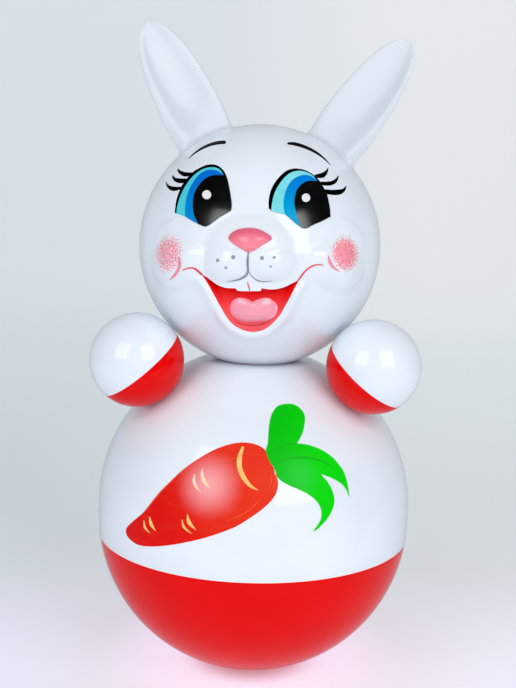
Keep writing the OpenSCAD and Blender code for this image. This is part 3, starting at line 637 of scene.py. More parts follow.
def film(name, outline, place, layer, finish, grid=FILM_GRID_PX):
    """A thin coat of paint with an outline in the photo's pixels, laid on the surface under it."""
    begin()
    bpy.ops.mesh.primitive_circle_add(vertices=len(outline), radius=1, fill_type="NGON")
    piece = bpy.context.object
    put_points(piece, np.column_stack((outline[:, 0], -outline[:, 1], np.zeros(len(outline)))))
    edit(piece)
    bpy.ops.mesh.quads_convert_to_tris()
    low, high = outline.min(axis=0), outline.max(axis=0)
    for axis, sign in ((0, 1), (1, -1)):
        normal = (1, 0, 0) if axis == 0 else (0, 1, 0)
        for step in range(1, int((high[axis] - low[axis]) / grid) + 1):
            bpy.ops.mesh.select_all(action="SELECT")
            at = sign * (low[axis] + step * grid)
            bpy.ops.mesh.bisect(plane_co=(at, 0, 0) if axis == 0 else (0, at, 0), plane_no=normal)
    bpy.ops.mesh.select_all(action="SELECT")
    bpy.ops.mesh.remove_doubles(threshold=FILM_WELD_PX)
    leave()
    flat = points_of(piece)
    put_points(piece, place(flat[:, 0], -flat[:, 1], PAINT_LIFT + layer * PAINT_LAYER))
    edit(piece)
    bpy.ops.mesh.normals_make_consistent(inside=False)
    leave()
    face = max(piece.data.polygons, key=lambda p: p.area)
    if face.normal.dot(Vector(CAMERA_AT) - face.center) < 0:
        edit(piece)
        bpy.ops.mesh.flip_normals()
        leave()
    coat = piece.modifiers.new("coat", "SOLIDIFY")
    coat.thickness = PAINT_T
    coat.offset = -1
    bpy.ops.object.modifier_apply(modifier=coat.name)
    piece.data.materials.append(finish)
    done(piece, name, angle=50)
    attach(piece, "toy")


def films(name, outlines, place, layer, finish):
    """Like coats of paint, numbered from 1."""
    for number, outline in enumerate(outlines, 1):
        film("%s_%d" % (name, number), outline, place, layer, finish)


# Finishes, with shares of the noise over which tones and roughness change

CLOUD_BAND = (0.35, 0.65)
WEAR_BAND = (0.3, 0.7)


def linear(r, g, b):
    """A colour as it shows on a screen, from 0 to 255, turned into the shader's scale."""
    shares = (c / 255 for c in (r, g, b))
    return tuple(s / 12.92 if s <= 0.04045 else ((s + 0.055) / 1.055) ** 2.4 for s in shares) + (1,)


class Finish:
    """A node material with the surface's own grain."""

    def __init__(self, name, colour, roughness, metallic=0.0, shine=0.5):
        self.material = bpy.data.materials.new(name)
        self.material.use_nodes = True
        self.tree = self.material.node_tree
        self.shader = self.tree.nodes["Principled BSDF"]
        self.shader.inputs["Base Color"].default_value = colour
        self.shader.inputs["Roughness"].default_value = roughness
        self.shader.inputs["Metallic"].default_value = metallic
        self.shader.inputs["Specular IOR Level"].default_value = shine
        self.material.diffuse_color = colour
        self.place = self.node("ShaderNodeTexCoord").outputs["Object"]

    def node(self, kind, **values):
        n = self.tree.nodes.new(kind)
        for key, value in values.items():
            setattr(n, key, value)
        return n

    def link(self, a, b):
        self.tree.links.new(a, b)

    def noise(self, scale, detail=2.0, roughness=0.5, stretch=(1, 1, 1), turn=(0, 0, 0)):
        mapping = self.node("ShaderNodeMapping")
        mapping.inputs["Scale"].default_value = stretch
        mapping.inputs["Rotation"].default_value = turn
        self.link(self.place, mapping.inputs["Vector"])
        n = self.node("ShaderNodeTexNoise")
        n.inputs["Scale"].default_value = scale
        n.inputs["Detail"].default_value = detail
        n.inputs["Roughness"].default_value = roughness
        self.link(mapping.outputs["Vector"], n.inputs["Vector"])
        return n.outputs["Fac"]

    def spread(self, value, low=0, high=1, to_low=0, to_high=1):
        n = self.node("ShaderNodeMapRange", interpolation_type="SMOOTHSTEP")
        for key, number in (("From Min", low), ("From Max", high), ("To Min", to_low), ("To Max", to_high)):
            n.inputs[key].default_value = number
        self.link(value, n.inputs["Value"])
        return n.outputs["Result"]

    def mix(self, factor, a, b):
        n = self.node("ShaderNodeMix", data_type="RGBA")
        for socket, value in ((n.inputs[6], a), (n.inputs[7], b)):
            if isinstance(value, tuple):
                socket.default_value = value
            else:
                self.link(value, socket)
        self.link(factor, n.inputs[0])
        return n.outputs[2]

    def times(self, a, b):
        n = self.node("ShaderNodeMath", operation="MULTIPLY")
        self.link(a, n.inputs[0])
        if isinstance(b, (int, float)):
            n.inputs[1].default_value = b
        else:
            self.link(b, n.inputs[1])
        return n.outputs["Value"]

    def along(self, start, end):
        """A share that runs from 0 at one place to 1 at another."""
        start, end = Vector(start), Vector(end)
        run = end - start
        offset = self.node("ShaderNodeVectorMath", operation="SUBTRACT")
        offset.inputs[1].default_value = start
        self.link(self.place, offset.inputs[0])
        dot = self.node("ShaderNodeVectorMath", operation="DOT_PRODUCT")
        dot.inputs[1].default_value = run / run.length_squared
        self.link(offset.outputs["Vector"], dot.inputs[0])
        return dot.outputs["Value"]

    def clouded(self, a, b, *noise):
        """Two tones that change into each other in soft clouds."""
        return self.mix(self.spread(self.noise(*noise), *CLOUD_BAND), a, b)

    def colour(self, value):
        self.link(value, self.shader.inputs["Base Color"])

    def grain(self, scale, height):
        """Fine bumps of the surface."""
        n = self.node("ShaderNodeBump")
        n.inputs["Strength"].default_value = 1.0
        n.inputs["Distance"].default_value = height
        self.link(self.noise(scale), n.inputs["Height"])
        self.link(n.outputs["Normal"], self.shader.inputs["Normal"])

    def wear(self, scale, low, high):
        """Roughness that changes a little from place to place."""
        self.link(self.spread(self.noise(scale), *WEAR_BAND, low, high), self.shader.inputs["Roughness"])

    def skin(self, tone, low, high, wear_scale, grain_scale, grain_height):
        """Lays on the tone, the wear between two roughnesses and the grain."""
        self.colour(tone)
        self.wear(wear_scale, low, high)
        self.grain(grain_scale, grain_height)
        return self.material


WHITE = linear(236, 242, 249)
WHITE_DEEP = linear(232, 238, 246)
WHITE_CLOUDS = 18
# The ears are the head's white plastic painted darker: painted shade, as they face the lamps more squarely
EAR_SHADED_WHITE = linear(216, 222, 230)
EAR_SHADED_WHITE_DEEP = linear(213, 219, 228)
# Painted highlight on the lip of the body's white half: its tone, where it starts to fade and how strong it
# is
EDGE_HIGHLIGHT_CREAM = linear(255, 240, 226)
EDGE_HIGHLIGHT_FADE_FROM = 0.6
EDGE_HIGHLIGHT_AMOUNT = 0.8
GLOSS = 0.07
FACE_GLOSS = 0.075
EAR_GLOSS = 0.25
GLOSS_WEAR = 0.015
RED = linear(233, 6, 7)
RED_PALE = linear(234, 6, 7)
RED_DEEP = linear(230, 5, 6)
RED_CLOUDS = 22
RED_GLOSS = 0.09
RED_SHINE = 0.14
RED_WEAR = (0.075, 0.11)
# Skins: scale of the wear, scale of the grain and the grain's height
PLASTIC_SKIN = (30, 240, 0.012 * MM)
PAINT_SKIN = (120, 600, 0.006 * MM)
PAINT_WEAR = 0.15
PAINT_CLOUDS = (160, 3.0, 0.55)
STREAK_NOISE = (150, 3.0, 0.6)
STREAK_BAND = (0.45, 0.75)
# Dots of the sponged blush: how many, how they vary, how sharp and how dense they are
SPECKLES_PER_PX = 0.7
DOT_BAND = (0.25, 0.75)
DOT_EDGE = (0.46, 0.54)
DOT_COVER = 0.94
BLUSH_END = 1.25
BLUSH_RIM = -0.5
BLUSH_RIM_FADE = 0.1
BLUSH_PINK = linear(255, 150, 164)
BLUSH_PINK_DEEP = linear(252, 130, 148)
BLUSH_CLOUDS = 420
BLUSH_CLOUD_BAND = (0.4, 0.6)


def white_plastic(name, pale=WHITE, deep=WHITE_DEEP, roughness=GLOSS, over=None):
    """Glossy moulded plastic, with what is laid over its own tone."""
    f = Finish(name, pale, roughness)
    tone = f.clouded(pale, deep, WHITE_CLOUDS)
    if over:
        tone = over(f, tone)
    return f.skin(tone, roughness - GLOSS_WEAR, roughness + GLOSS_WEAR, *PLASTIC_SKIN)


def red_plastic(name):
    f = Finish(name, RED, RED_GLOSS, shine=RED_SHINE)
    return f.skin(f.clouded(RED_PALE, RED_DEEP, RED_CLOUDS), *RED_WEAR, *PLASTIC_SKIN)


def brushed(f, tone, roughness):
    return f.skin(tone, roughness * (1 - PAINT_WEAR), roughness * (1 + PAINT_WEAR), *PAINT_SKIN)


def painted(name, a, b, roughness=0.3, shine=0.3):
    """Brushed paint that runs between two tones."""
    f = Finish(name, a, roughness, shine=shine)
    return brushed(f, f.clouded(a, b, *PAINT_CLOUDS), roughness)


def faded(name, spot, ends, a, b, roughness=0.22, shine=0.06, streak=None, painted_highlight=None):
    """Paint that fades between two tones from spot to spot, with lighter streaks and a painted highlight."""
    f = Finish(name, a, roughness, shine=shine)
    tone = f.mix(f.spread(f.along(*(spot(*end) for end in ends))), a, b)
    if streak:
        amount, shade, stretch = streak
        streaks = f.noise(*STREAK_NOISE, stretch, CARROT_TURN)
        tone = f.mix(f.spread(streaks, *STREAK_BAND, 0, amount), tone, shade)
    # A lamp's reflection painted into the colour, palest in the middle and fading out to its radius
    if painted_highlight:
        middle, radius, amount, shade = painted_highlight
        away = f.node("ShaderNodeVectorMath", operation="DISTANCE")
        away.inputs[1].default_value = Vector(spot(*middle))
        f.link(f.place, away.inputs[0])
        tone = f.mix(f.spread(away.outputs["Value"], 0, radius, amount, 0), tone, shade)
    return brushed(f, tone, roughness)


def blush_spot(f, tone, x, y, half_w, half_h, core):
    """A dab of sponged paint on the cheek: solid dots that thin out towards its edge."""
    middle = head_spot(x, y)
    scale = np.linalg.norm(middle - CAMERA_AT) / FOCAL_PX
    offset = f.node("ShaderNodeVectorMath", operation="SUBTRACT")
    offset.inputs[1].default_value = Vector(middle)
    f.link(f.place, offset.inputs[0])
    far = f.node("ShaderNodeMath", operation="ADD")
    flat = f.node("ShaderNodeCombineXYZ")
    for axis, half in ((0, half_w), (1, half_h)):
        dot = f.node("ShaderNodeVectorMath", operation="DOT_PRODUCT")
        dot.inputs[1].default_value = Vector(VIEW_AXES[:, axis]) / (half * scale)
        f.link(offset.outputs["Vector"], dot.inputs[0])
        across = dot.outputs["Value"]
        f.link(f.times(across, half * SPECKLES_PER_PX), flat.inputs[axis])
        f.link(f.times(across, across), far.inputs[axis])
    near = f.spread(far.outputs["Value"], 0, BLUSH_END, 1, 0)
    dots = f.node("ShaderNodeTexNoise")
    dots.inputs["Scale"].default_value = 1.0
    dots.inputs["Detail"].default_value = 0.0
    f.link(flat.outputs["Vector"], dots.inputs["Vector"])
    speckle = f.node("ShaderNodeMath", operation="ADD")
    f.link(f.spread(dots.outputs["Fac"], *DOT_BAND), speckle.inputs[0])
    f.link(f.spread(near, 0, 1, BLUSH_RIM, core), speckle.inputs[1])
    cover = f.spread(speckle.outputs["Value"], *DOT_EDGE, 0, DOT_COVER)
    pink = f.mix(f.spread(f.noise(BLUSH_CLOUDS), *BLUSH_CLOUD_BAND), BLUSH_PINK, BLUSH_PINK_DEEP)
    return f.mix(f.times(cover, f.spread(near, 0, BLUSH_RIM_FADE)), tone, pink)


def blush(f, tone):
    for spot in BLUSH.values():
        tone = blush_spot(f, tone, *spot)
    return tone


def lip_edge_highlight(f, tone):
    """A painted highlight along the lower edge of the body's white half, where the lip catches the light."""
    up = f.along((0, 0, SEAM_Z), (0, 0, SEAM_Z + LIP_H))
    return f.mix(f.spread(up, EDGE_HIGHLIGHT_FADE_FROM, 1, EDGE_HIGHLIGHT_AMOUNT, 0), tone, EDGE_HIGHLIGHT_CREAM)


white_shell = white_plastic("white_plastic")
# The ears' white plastic, with painted shade
shaded_ear_shell = white_plastic("white_plastic_ear_shaded", EAR_SHADED_WHITE, EAR_SHADED_WHITE_DEEP, EAR_GLOSS)
face_shell = white_plastic("white_plastic_face", roughness=FACE_GLOSS, over=blush)
# The body's white plastic, with a painted highlight along the lip
body_shell = white_plastic("white_plastic_body", roughness=FACE_GLOSS, over=lip_edge_highlight)
red_shell = red_plastic("red_plastic")


# Body

def lower_body():
    seam_in = math.sqrt(BODY_IN ** 2 - SEAM_DROP ** 2)
    rim_out, rim_in = seam_in - FIT, seam_in - FIT - RIM_T
    flat_edge = -math.degrees(math.acos(math.sqrt(BODY_R ** 2 - BOWL_Z ** 2) / BODY_R))
    seam_edge = -math.degrees(math.asin(SEAM_DROP / BODY_R))
    rim_edge = -math.degrees(math.acos(rim_in / BODY_IN))
    outer = [(0, 0)] + arc(BOWL_Z, BODY_R, flat_edge, seam_edge, steps=48)
    step = [(rim_out, SEAM_Z), (rim_out, SEAM_Z + RIM_H), (rim_in, SEAM_Z + RIM_H)]
    profile = outer + step + arc(BOWL_Z, BODY_IN, rim_edge, -90, steps=32)
    n = len(outer)
    return spun("body_bowl", eased(profile, {n - 1, n + 1, n + 2}, SEAM_EASE))


def upper_body():
    lip_edge = -math.degrees(math.asin((SEAM_DROP - LIP_H) / BODY_R))
    lip_out = math.sqrt(BODY_R ** 2 - (SEAM_DROP - LIP_H) ** 2) + LIP_T
    neck_edge = math.degrees(math.asin((NECK_RISE - NECK_SEAT) / BODY_R))
    plate_edge = math.degrees(math.asin((NECK_RISE - NECK_PLATE) / BODY_IN))
    seam_edge = -math.degrees(math.asin(SEAM_DROP / BODY_IN))
    neck_z = DOME_Z + NECK_RISE
    lip = [(lip_out, SEAM_Z), (lip_out, SEAM_Z + LIP_H)]
    outer = arc(BOWL_Z, BODY_R, lip_edge, 0, steps=6) + arc(DOME_Z, BODY_R, 0, neck_edge, steps=48)[1:]
    neck = [(NECK_HOLE_R, neck_z - NECK_SEAT), (NECK_HOLE_R, neck_z - NECK_PLATE)]
    inner = arc(DOME_Z, BODY_IN, plate_edge, 0, steps=32) + arc(BOWL_Z, BODY_IN, 0, seam_edge, steps=6)[1:]
    return spun("body_dome", eased(lip + outer + neck + inner, {0, 1}, SEAM_EASE))


# Head

def mouth_cutter():
    """The open mouth drawn out along the view."""
    begin()
    count = len(MOUTH_LINE)
    bpy.ops.mesh.primitive_circle_add(vertices=count, radius=1, fill_type="NGON")
    piece = bpy.context.object
    put_points(piece, np.column_stack((MOUTH_LINE[:, 0], -MOUTH_LINE[:, 1], np.zeros(count))))
    edit(piece)
    bpy.ops.mesh.quads_convert_to_tris()
    bpy.ops.mesh.extrude_region_move(TRANSFORM_OT_translate={"value": (0, 0, 1)})
    leave()
    p = points_of(piece)
    put_points(piece, seen_at(p[:, 0], -p[:, 1], np.where(p[:, 2] > 0.5, *MOUTH_CUT)))
    return done(piece, "mouth_cutter")


def head_front():
    """A round ball cut at the rear seam and the neck, with the face worked in relief."""
    begin()
    bpy.ops.mesh.primitive_uv_sphere_add(segments=HEAD_AROUND, ring_count=HEAD_RINGS, radius=HEAD_R,
                                         rotation=(math.pi / 2, 0, HEAD_TURN))
    ball = bpy.context.object
    bpy.ops.object.transform_apply(location=False, rotation=True, scale=False)
    back = Matrix.Rotation(HEAD_TURN, 3, "Z") @ Vector((0, 1, 0))
    edit(ball)
    bpy.ops.mesh.bisect(plane_co=back * REAR_SEAM, plane_no=back, clear_outer=True)
    bpy.ops.mesh.select_all(action="SELECT")
    bpy.ops.mesh.bisect(plane_co=(0, 0, -NECK_BELOW_HEAD), plane_no=(0, 0, 1), clear_inner=True)
    bpy.ops.mesh.extrude_edges_move()
    k = NECK_HOLE_R / HEAD_FOOT_R
    bpy.ops.transform.resize(value=(k, k, 1), center_override=(0, 0, -NECK_BELOW_HEAD))
    leave()
    points = points_of(ball) + HEAD_AT
    rays = points - CAMERA_AT
    rays /= np.linalg.norm(rays, axis=1)[:, None]
    facing = -np.einsum("ij,ij->i", rays, (points - HEAD_AT) / HEAD_R)
    height = face_relief(*to_pixels(points), NOSE_UNDER_SHARE) * ease((facing - FACE_FADE[0]) / FACE_FADE[1])
    put_points(ball, points - rays * height[:, None])
    shell = ball.modifiers.new("wall", "SOLIDIFY")
    shell.thickness = HEAD_WALL
    shell.offset = -1
    edit(ball)
    bpy.ops.mesh.normals_make_consistent(inside=False)
    leave()
    bpy.ops.object.modifier_apply(modifier=shell.name)
    cutter = mouth_cutter()
    begin()
    bpy.context.view_layer.objects.active = ball
    ball.select_set(True)
    opening = ball.modifiers.new("mouth", "BOOLEAN")
    opening.operation = "DIFFERENCE"
    opening.solver = "MANIFOLD"
    opening.object = cutter
    bpy.ops.object.modifier_apply(modifier=opening.name)
    bpy.data.objects.remove(cutter)
    return done(ball, "head_face", angle=50)


def head_rear():
    rim_r = math.sqrt(HEAD_IN ** 2 - REAR_SEAM ** 2) - FIT
    seam_edge = math.degrees(math.asin(REAR_SEAM / HEAD_R))
    in_r = rim_r - HEAD_WALL
    in_edge = math.degrees(math.acos(in_r / HEAD_IN))
    outer = arc(0, HEAD_R, seam_edge, 90, steps=32)
    inner = arc(0, HEAD_IN, 90, in_edge, steps=24)
    rim = [(in_r, REAR_SEAM - REAR_RIM_H), (rim_r, REAR_SEAM - REAR_RIM_H), (rim_r, REAR_SEAM)]
    place = (Matrix.Translation(Vector(HEAD_AT)) @ Matrix.Rotation(HEAD_TURN, 4, "Z")
             @ Matrix.Rotation(-math.pi / 2, 4, "X"))
    profile = outer + inner + rim
    return spun("head_back", eased(profile, {0, len(profile) - 3, len(profile) - 2}, REAR_SEAM_EASE), place)


def ear(name, lean):
    """A ball drawn out into a leaf with a scooped front, seated on the head."""
    begin()
    bpy.ops.mesh.primitive_uv_sphere_add(segments=EAR_AROUND, ring_count=EAR_RINGS, radius=1)
    piece = bpy.context.object
    p = points_of(piece)
    turn = np.arctan2(p[:, 1], p[:, 0])
    c, s = np.cos(turn), np.sin(turn)
    share = 0.5 - np.arcsin(np.clip(p[:, 2], -1, 1)) / math.pi
    leaf_share = 1 - EAR_SEAT_SHARE
    t = np.sin(np.clip((leaf_share - share) / leaf_share, 0, 1) * math.pi / 2)
    draw_in = np.clip((1 - share) / EAR_SEAT_SHARE, 0, 1)
    waist = 1 - EAR_WAIST * (1 - ease(t / EAR_WAIST_RUN))
    full = np.sqrt(np.maximum(1 - t ** EAR_LEAF_POWER, 0)) * waist
    thin = 1 - EAR_TIP_THIN * t
    back = EAR_BACK * thin * np.sqrt(full)
    edge = EAR_EDGE * thin * np.sqrt(full)
    scoop = (edge + EAR_SCOOP * thin * full) * ease((t - EAR_SCOOP_FROM) / EAR_SCOOP_RUN)
    x = EAR_W / 2 * full * c * draw_in
    outer = c if lean > 0 else -c
    up = ease(t / EAR_RIM_RUN)
    crest = between(EAR_RIM_AT, up)
    width = between(EAR_RIM_W, up) * np.where(outer < crest, EAR_RIM_INWARD, 1)
    rim = between(EAR_RIM, up) * ease((1 - t) / EAR_TIP_RUN) * np.sqrt(full)
    front = scoop * np.abs(s) ** EAR_SCOOP_POWER - edge * np.sqrt(np.abs(s))
    front = front - rim * np.exp(-((outer - crest) / width) ** 2) * np.abs(s) ** EAR_RIM_POWER
    y = np.where(s >= 0, back * s, front) * draw_in - np.abs(x) * np.sign(outer) * math.tan(EAR_TOE_IN)
    flare = EAR_FLARE * np.clip(1 - t / EAR_FLARE_SHARE, 0, 1) ** EAR_FLARE_POWER * draw_in
    normal = np.hypot(2 * c / EAR_W, s / EAR_BACK)
    x = x + flare * 2 * c / EAR_W / normal
    y = y + flare * s / EAR_BACK / normal
    seat_r = HEAD_R - 2 * FIT
    seat = np.sqrt(seat_r ** 2 - x ** 2 - y ** 2)
    z = seat + (HEAD_R + EAR_LEN - seat) * t
    put_points(piece, np.column_stack((x, y, z)))
    piece.data.transform(Matrix.Translation(Vector(HEAD_AT)) @ Matrix.Rotation(HEAD_TURN, 4, "Z")
                         @ Matrix.Rotation(lean, 4, "Y"))
    return done(piece, name + "_leaf", angle=60)


# Hands

def hand_place(side):
    turn = -HAND_FORWARD if side > 0 else math.pi + HAND_FORWARD
    return (Matrix.Translation((0, 0, DOME_Z)) @ Matrix.Rotation(turn, 4, "Z")
            @ Matrix.Rotation(math.pi / 2 - HAND_RAISE, 4, "Y") @ Matrix.Translation((0, 0, HAND_LIFT)))


def hand_tilted(profile_piece, side, low):
    """Tilts the seam end of a hand half round the middle of the hand."""
    place = hand_place(side)
    p = points_of(profile_piece)
    share = ease((p[:, 2] - low) / (-HAND_SEAMS[side] - low))
    turn = share * HAND_SEAM_TILTS[side]
    y = p[:, 1] * np.cos(turn) - p[:, 2] * np.sin(turn)
    z = p[:, 1] * np.sin(turn) + p[:, 2] * np.cos(turn)
    put_points(profile_piece, np.column_stack((p[:, 0], y, z)))
    profile_piece.data.transform(place)
    return profile_piece


def hand_cap(name, side):
    seam = HAND_SEAMS[side]
    seam_edge = -math.degrees(math.asin(seam / HAND_R))
    seam_in_edge = -math.degrees(math.asin(seam / HAND_IN))
    profile = arc(0, HAND_R, seam_edge, 90, steps=40) + arc(0, HAND_IN, 90, seam_in_edge, steps=28)
    return hand_tilted(spun(name, eased(profile, {0}, HAND_CAP_EASE), steps=HAND_SPIN_STEPS), side, -HAND_R)


def hand_cup(name, side):
    seam = HAND_SEAMS[side]
    rim_out = math.sqrt(HAND_IN ** 2 - seam ** 2) - FIT
    rim_in = rim_out - HAND_RIM_T
    seam_edge = -math.degrees(math.asin(seam / HAND_R))
    seat_r = BODY_R + FIT
    touch_z = (seat_r ** 2 - HAND_LIFT ** 2 - HAND_R ** 2) / (2 * HAND_LIFT)
    touch_edge = math.degrees(math.asin(touch_z / HAND_R))
    touch_up = math.degrees(math.acos(math.sqrt(HAND_R ** 2 - touch_z ** 2) / seat_r))
    hole_up = math.degrees(math.acos(SCREW_HOLE_R / seat_r))
    rim_edge = -math.degrees(math.acos(rim_in / HAND_IN))
    boss_edge = -math.degrees(math.acos(HAND_BOSS_R / HAND_IN))
    outer = arc(0, HAND_R, touch_edge, seam_edge, steps=32)
    rim = [(rim_out, -seam), (rim_out, HAND_RIM_H - seam), (rim_in, HAND_RIM_H - seam)]
    inner = arc(0, HAND_IN, rim_edge, boss_edge, steps=24)
    boss = [(HAND_BOSS_R, HAND_BOSS_TOP), (0, HAND_BOSS_TOP), (0, HAND_BOSS_TOP - HAND_BOSS_T),
            (SCREW_HOLE_R, HAND_BOSS_TOP - HAND_BOSS_T)]
    seat = arc(-HAND_LIFT, seat_r, hole_up, touch_up, steps=8)[:-1]
    n = len(outer)
    profile = eased(outer + rim + inner + boss + seat, {n - 1, n + 1}, HAND_CUP_EASE)
    return hand_tilted(spun(name, profile, steps=HAND_SPIN_STEPS), side, HAND_BOSS_TOP)


def dress(piece, node, finish):
    piece.data.materials.clear()
    piece.data.materials.append(finish)
    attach(piece, "toy")
    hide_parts(node)


dress(lower_body(), "lower_body_shell", red_shell)
dress(upper_body(), "upper_body_shell", body_shell)
dress(head_front(), "head_front_shell", face_shell)
dress(head_rear(), "head_rear_cap", white_shell)
for ear_name, ear_lean in EAR_LEANS.items():
    dress(ear(ear_name, ear_lean), ear_name, shaded_ear_shell)
for hand, side in (("right", -1), ("left", 1)):
    dress(hand_cap(hand + "_hand_ball", side), hand + "_hand_cap", white_shell)
    dress(hand_cup(hand + "_hand_bowl", side), hand + "_hand_cup", red_shell)


# Paint, with two tones of each as they show on a screen, then roughness and shine

PAINTS = {
    "black": ((1, 1, 2), (3, 3, 4), 0.3, 0.02),
    "gloss_black": ((1, 1, 2), (3, 3, 4), 0.18, 1.0),
    "right_turquoise": ((66, 204, 220), (84, 210, 222), 0.22),
    "left_turquoise": ((112, 216, 224), (134, 224, 228), 0.22),
    "white": ((238, 238, 236), (228, 230, 230), 0.25),
    "grey": ((128, 138, 146), (150, 158, 166), 0.25),
    "cheek_pink": ((246, 156, 166), (240, 130, 144), 0.25),
    "mouth_corner": ((240, 96, 104), (226, 60, 70), 0.25),
    "tongue_line": ((176, 40, 52), (150, 30, 44), 0.25),
    # Cream lightened by the carrot's painted highlight, for the strokes that lie in it
    "highlit_cream": ((255, 222, 192), (253, 208, 172), 0.3),
    "cream": ((252, 206, 120), (248, 186, 104), 0.28),
    "light_orange": ((246, 96, 52), (242, 76, 38), 0.35, 0.1),
    "deep_green": ((0, 182, 14), (0, 188, 12), 0.35, 0.1),
}
# Streaks: amount, tone and stretch. Painted highlight: middle, radius, amount and tone.
CARROT_STREAKING = (0.15, linear(246, 84, 46), (0.3, 1, 1.8))
CARROT_PAINTED_HIGHLIGHT = (CARROT_HIGHLIGHT, CARROT_HIGHLIGHT_R, 0.92, linear(250, 168, 170))
LEAF_STREAKING = (0.15, linear(6, 226, 8), (0.4, 1, 1.2))
# The leaf's painted highlight, a lamp's reflection put into the colour
LEAF_PAINTED_HIGHLIGHT = (LEAF_HIGHLIGHT, LEAF_HIGHLIGHT_R, 0.6, linear(48, 206, 70))
FADED_PAINTS = {
    "nose_pink": (head_spot, NOSE_FADE, (240, 104, 130), (255, 138, 154), 0.15, 0.6),
    # The mouth: painted shade under the upper lip, painted light on the lower wall
    "mouth": (head_spot, MOUTH_SHADE_FADE, (236, 8, 8), (250, 92, 98)),
    "tongue": (head_spot, TONGUE_FADE, (255, 170, 190), (252, 154, 172), 0.12, 0.9),
    "right_eye_blue": (head_spot, RIGHT_EYE["blue_fade"], (0, 138, 208), (0, 108, 208)),
    "left_eye_blue": (head_spot, LEFT_EYE["blue_fade"], (0, 160, 206), (0, 124, 216)),
    # The carrot's paint carries a painted highlight
    "carrot": (belly_spot, CARROT_FADE, (225, 8, 4), (232, 50, 24), 0.4, 0.1,
               CARROT_STREAKING, CARROT_PAINTED_HIGHLIGHT),
    # The leaf's paint carries a painted highlight
    "leaf": (belly_spot, LEAF_FADE, (0, 192, 10), (0, 216, 2), 0.4, 0.08, LEAF_STREAKING, LEAF_PAINTED_HIGHLIGHT),
}
paint = {}
for name, (a, b, *gloss) in PAINTS.items():
    paint[name] = painted(name + "_paint", linear(*a), linear(*b), *gloss)
for name, (spot, ends, a, b, *rest) in FADED_PAINTS.items():
    paint[name] = faded(name + "_paint", spot, ends, linear(*a), linear(*b), *rest)


def paint_eye(side, eye):
    """One eye from the lowest coat up, with its brow and lashes."""
    base, pupil = eye["base"], eye["pupil"]
    film(side + "_eye_lid", joined(eye["lid"], base), on_head, 0, paint["black"])
    turquoise = np.vstack((smooth_curve(eye["turquoise"]), base[TURQUOISE_BASE]))
    film(side + "_eye_turquoise", turquoise, on_head, 1, paint[side + "_turquoise"])
    blue = np.vstack((smooth_curve(eye["blue"]), base[BLUE_BASE]))
    film(side + "_eye_blue", blue, on_head, 2, paint[side + "_eye_blue"])
    lid = smooth_curve(eye["lid"])
    low, top = pupil[0], pupil[-1]
    above = lid[(lid[:, 0] > top[0] + 1) & (lid[:, 1] > top[1] + 1)]
    below = [p for p in base[1:] if p[0] > low[0] + 1]
    dark = np.vstack((smooth_curve(pupil), above, below))
    film(side + "_eye_pupil", dark, on_head, 3, paint["gloss_black"])
    film(side + "_eye_glint", disc(*eye["glint"]), on_head, 4, paint["white"])
    brow = [(x, y, BROW_FULL * w) for x, y, w in eye["brow"]]
    film(side + "_brow", brush(brow), on_head, 0, paint["black"])
    lashes = [closed_curve(lash, per_span=4) for lash in eye["lashes"]]
    films(side + "_lash", lashes, on_head, 0, paint["black"])


paint_eye("right", RIGHT_EYE)
paint_eye("left", LEFT_EYE)

film("nose_paint", NOSE_LINE, on_head, 1, paint["nose_pink"], FINE_GRID_PX)
film("lip_line_left", brush(LIP_STEM), on_head, 1, paint["grey"])
film("lip_line_right", brush(LIP_BRANCH), on_head, 0, paint["grey"])
films("whisker_dot", [disc(*dot) for dot in WHISKER_DOTS], on_head, 0, paint["grey"])
film("mouth_paint", MOUTH_LINE, in_mouth, 0, paint["mouth"], FINE_GRID_PX)
film("tongue_paint", TONGUE_OUTLINE, on_tongue, 2, paint["tongue"], FINE_GRID_PX)
film("tongue_line", brush(TONGUE_LINE), in_mouth, 2, paint["tongue_line"])
film("tooth_line", brush(TOOTH_LINE), on_head, 1, paint["mouth_corner"], FINE_GRID_PX)
film("mouth_corner_right", brush(CORNER_RIGHT), on_head, 1, paint["mouth_corner"])
film("mouth_corner_left", brush(CORNER_LEFT), on_head, 1, paint["mouth_corner"])
for side, stroke in zip(("right", "left"), BLUSH_STROKES):
    film(side + "_cheek_stroke", brush(stroke), on_head, 0, paint["cheek_pink"])

film("carrot_root", closed_curve(CARROT_ROOT), on_belly, 0, paint["carrot"], BELLY_GRID_PX)
film("carrot_leaves", joined(*CARROT_LEAVES), on_belly, 1, paint["leaf"], BELLY_GRID_PX)
for number, stroke in enumerate(CARROT_STROKES, 1):
    # Strokes in the carrot's painted highlight take the lightened cream
    tone = "highlit_cream" if number in HIGHLIT_STROKES else "cream"
    film("carrot_stroke_%d" % number, brush(stroke), on_belly, 1, paint[tone])
films("carrot_streak", [brush(streak) for streak in CARROT_STREAKS], on_belly, 1, paint["light_orange"])
films("leaf_streak", [brush(streak) for streak in LEAF_STREAKS], on_belly, 2, paint["deep_green"])


# Works inside

METAL_SHADE = 0.82
METAL_NOISE = (3.0, 0.6)
METAL_WEAR = (0.8, 1.25)
METAL_GRAIN = 0.02 * MM
DRAWN = (1, 1, 0.15)
CAST = (1, 1, 1)
IVORY = linear(230, 222, 200)
IVORY_DEEP = linear(222, 212, 188)
IVORY_ROUGHNESS = 0.45
IVORY_CLOUDS = 60
IVORY_GRAIN = (500, 0.02 * MM)


def metal(name, colour, roughness, scale, stretch):
    f = Finish(name, colour, roughness, metallic=1.0)
    shade = tuple(c * METAL_SHADE for c in colour[:3]) + (1,)
    low, high = (roughness * share for share in METAL_WEAR)
    tone = f.clouded(colour, shade, scale, *METAL_NOISE, stretch)
    return f.skin(tone, low, high, scale, scale * 2, METAL_GRAIN)


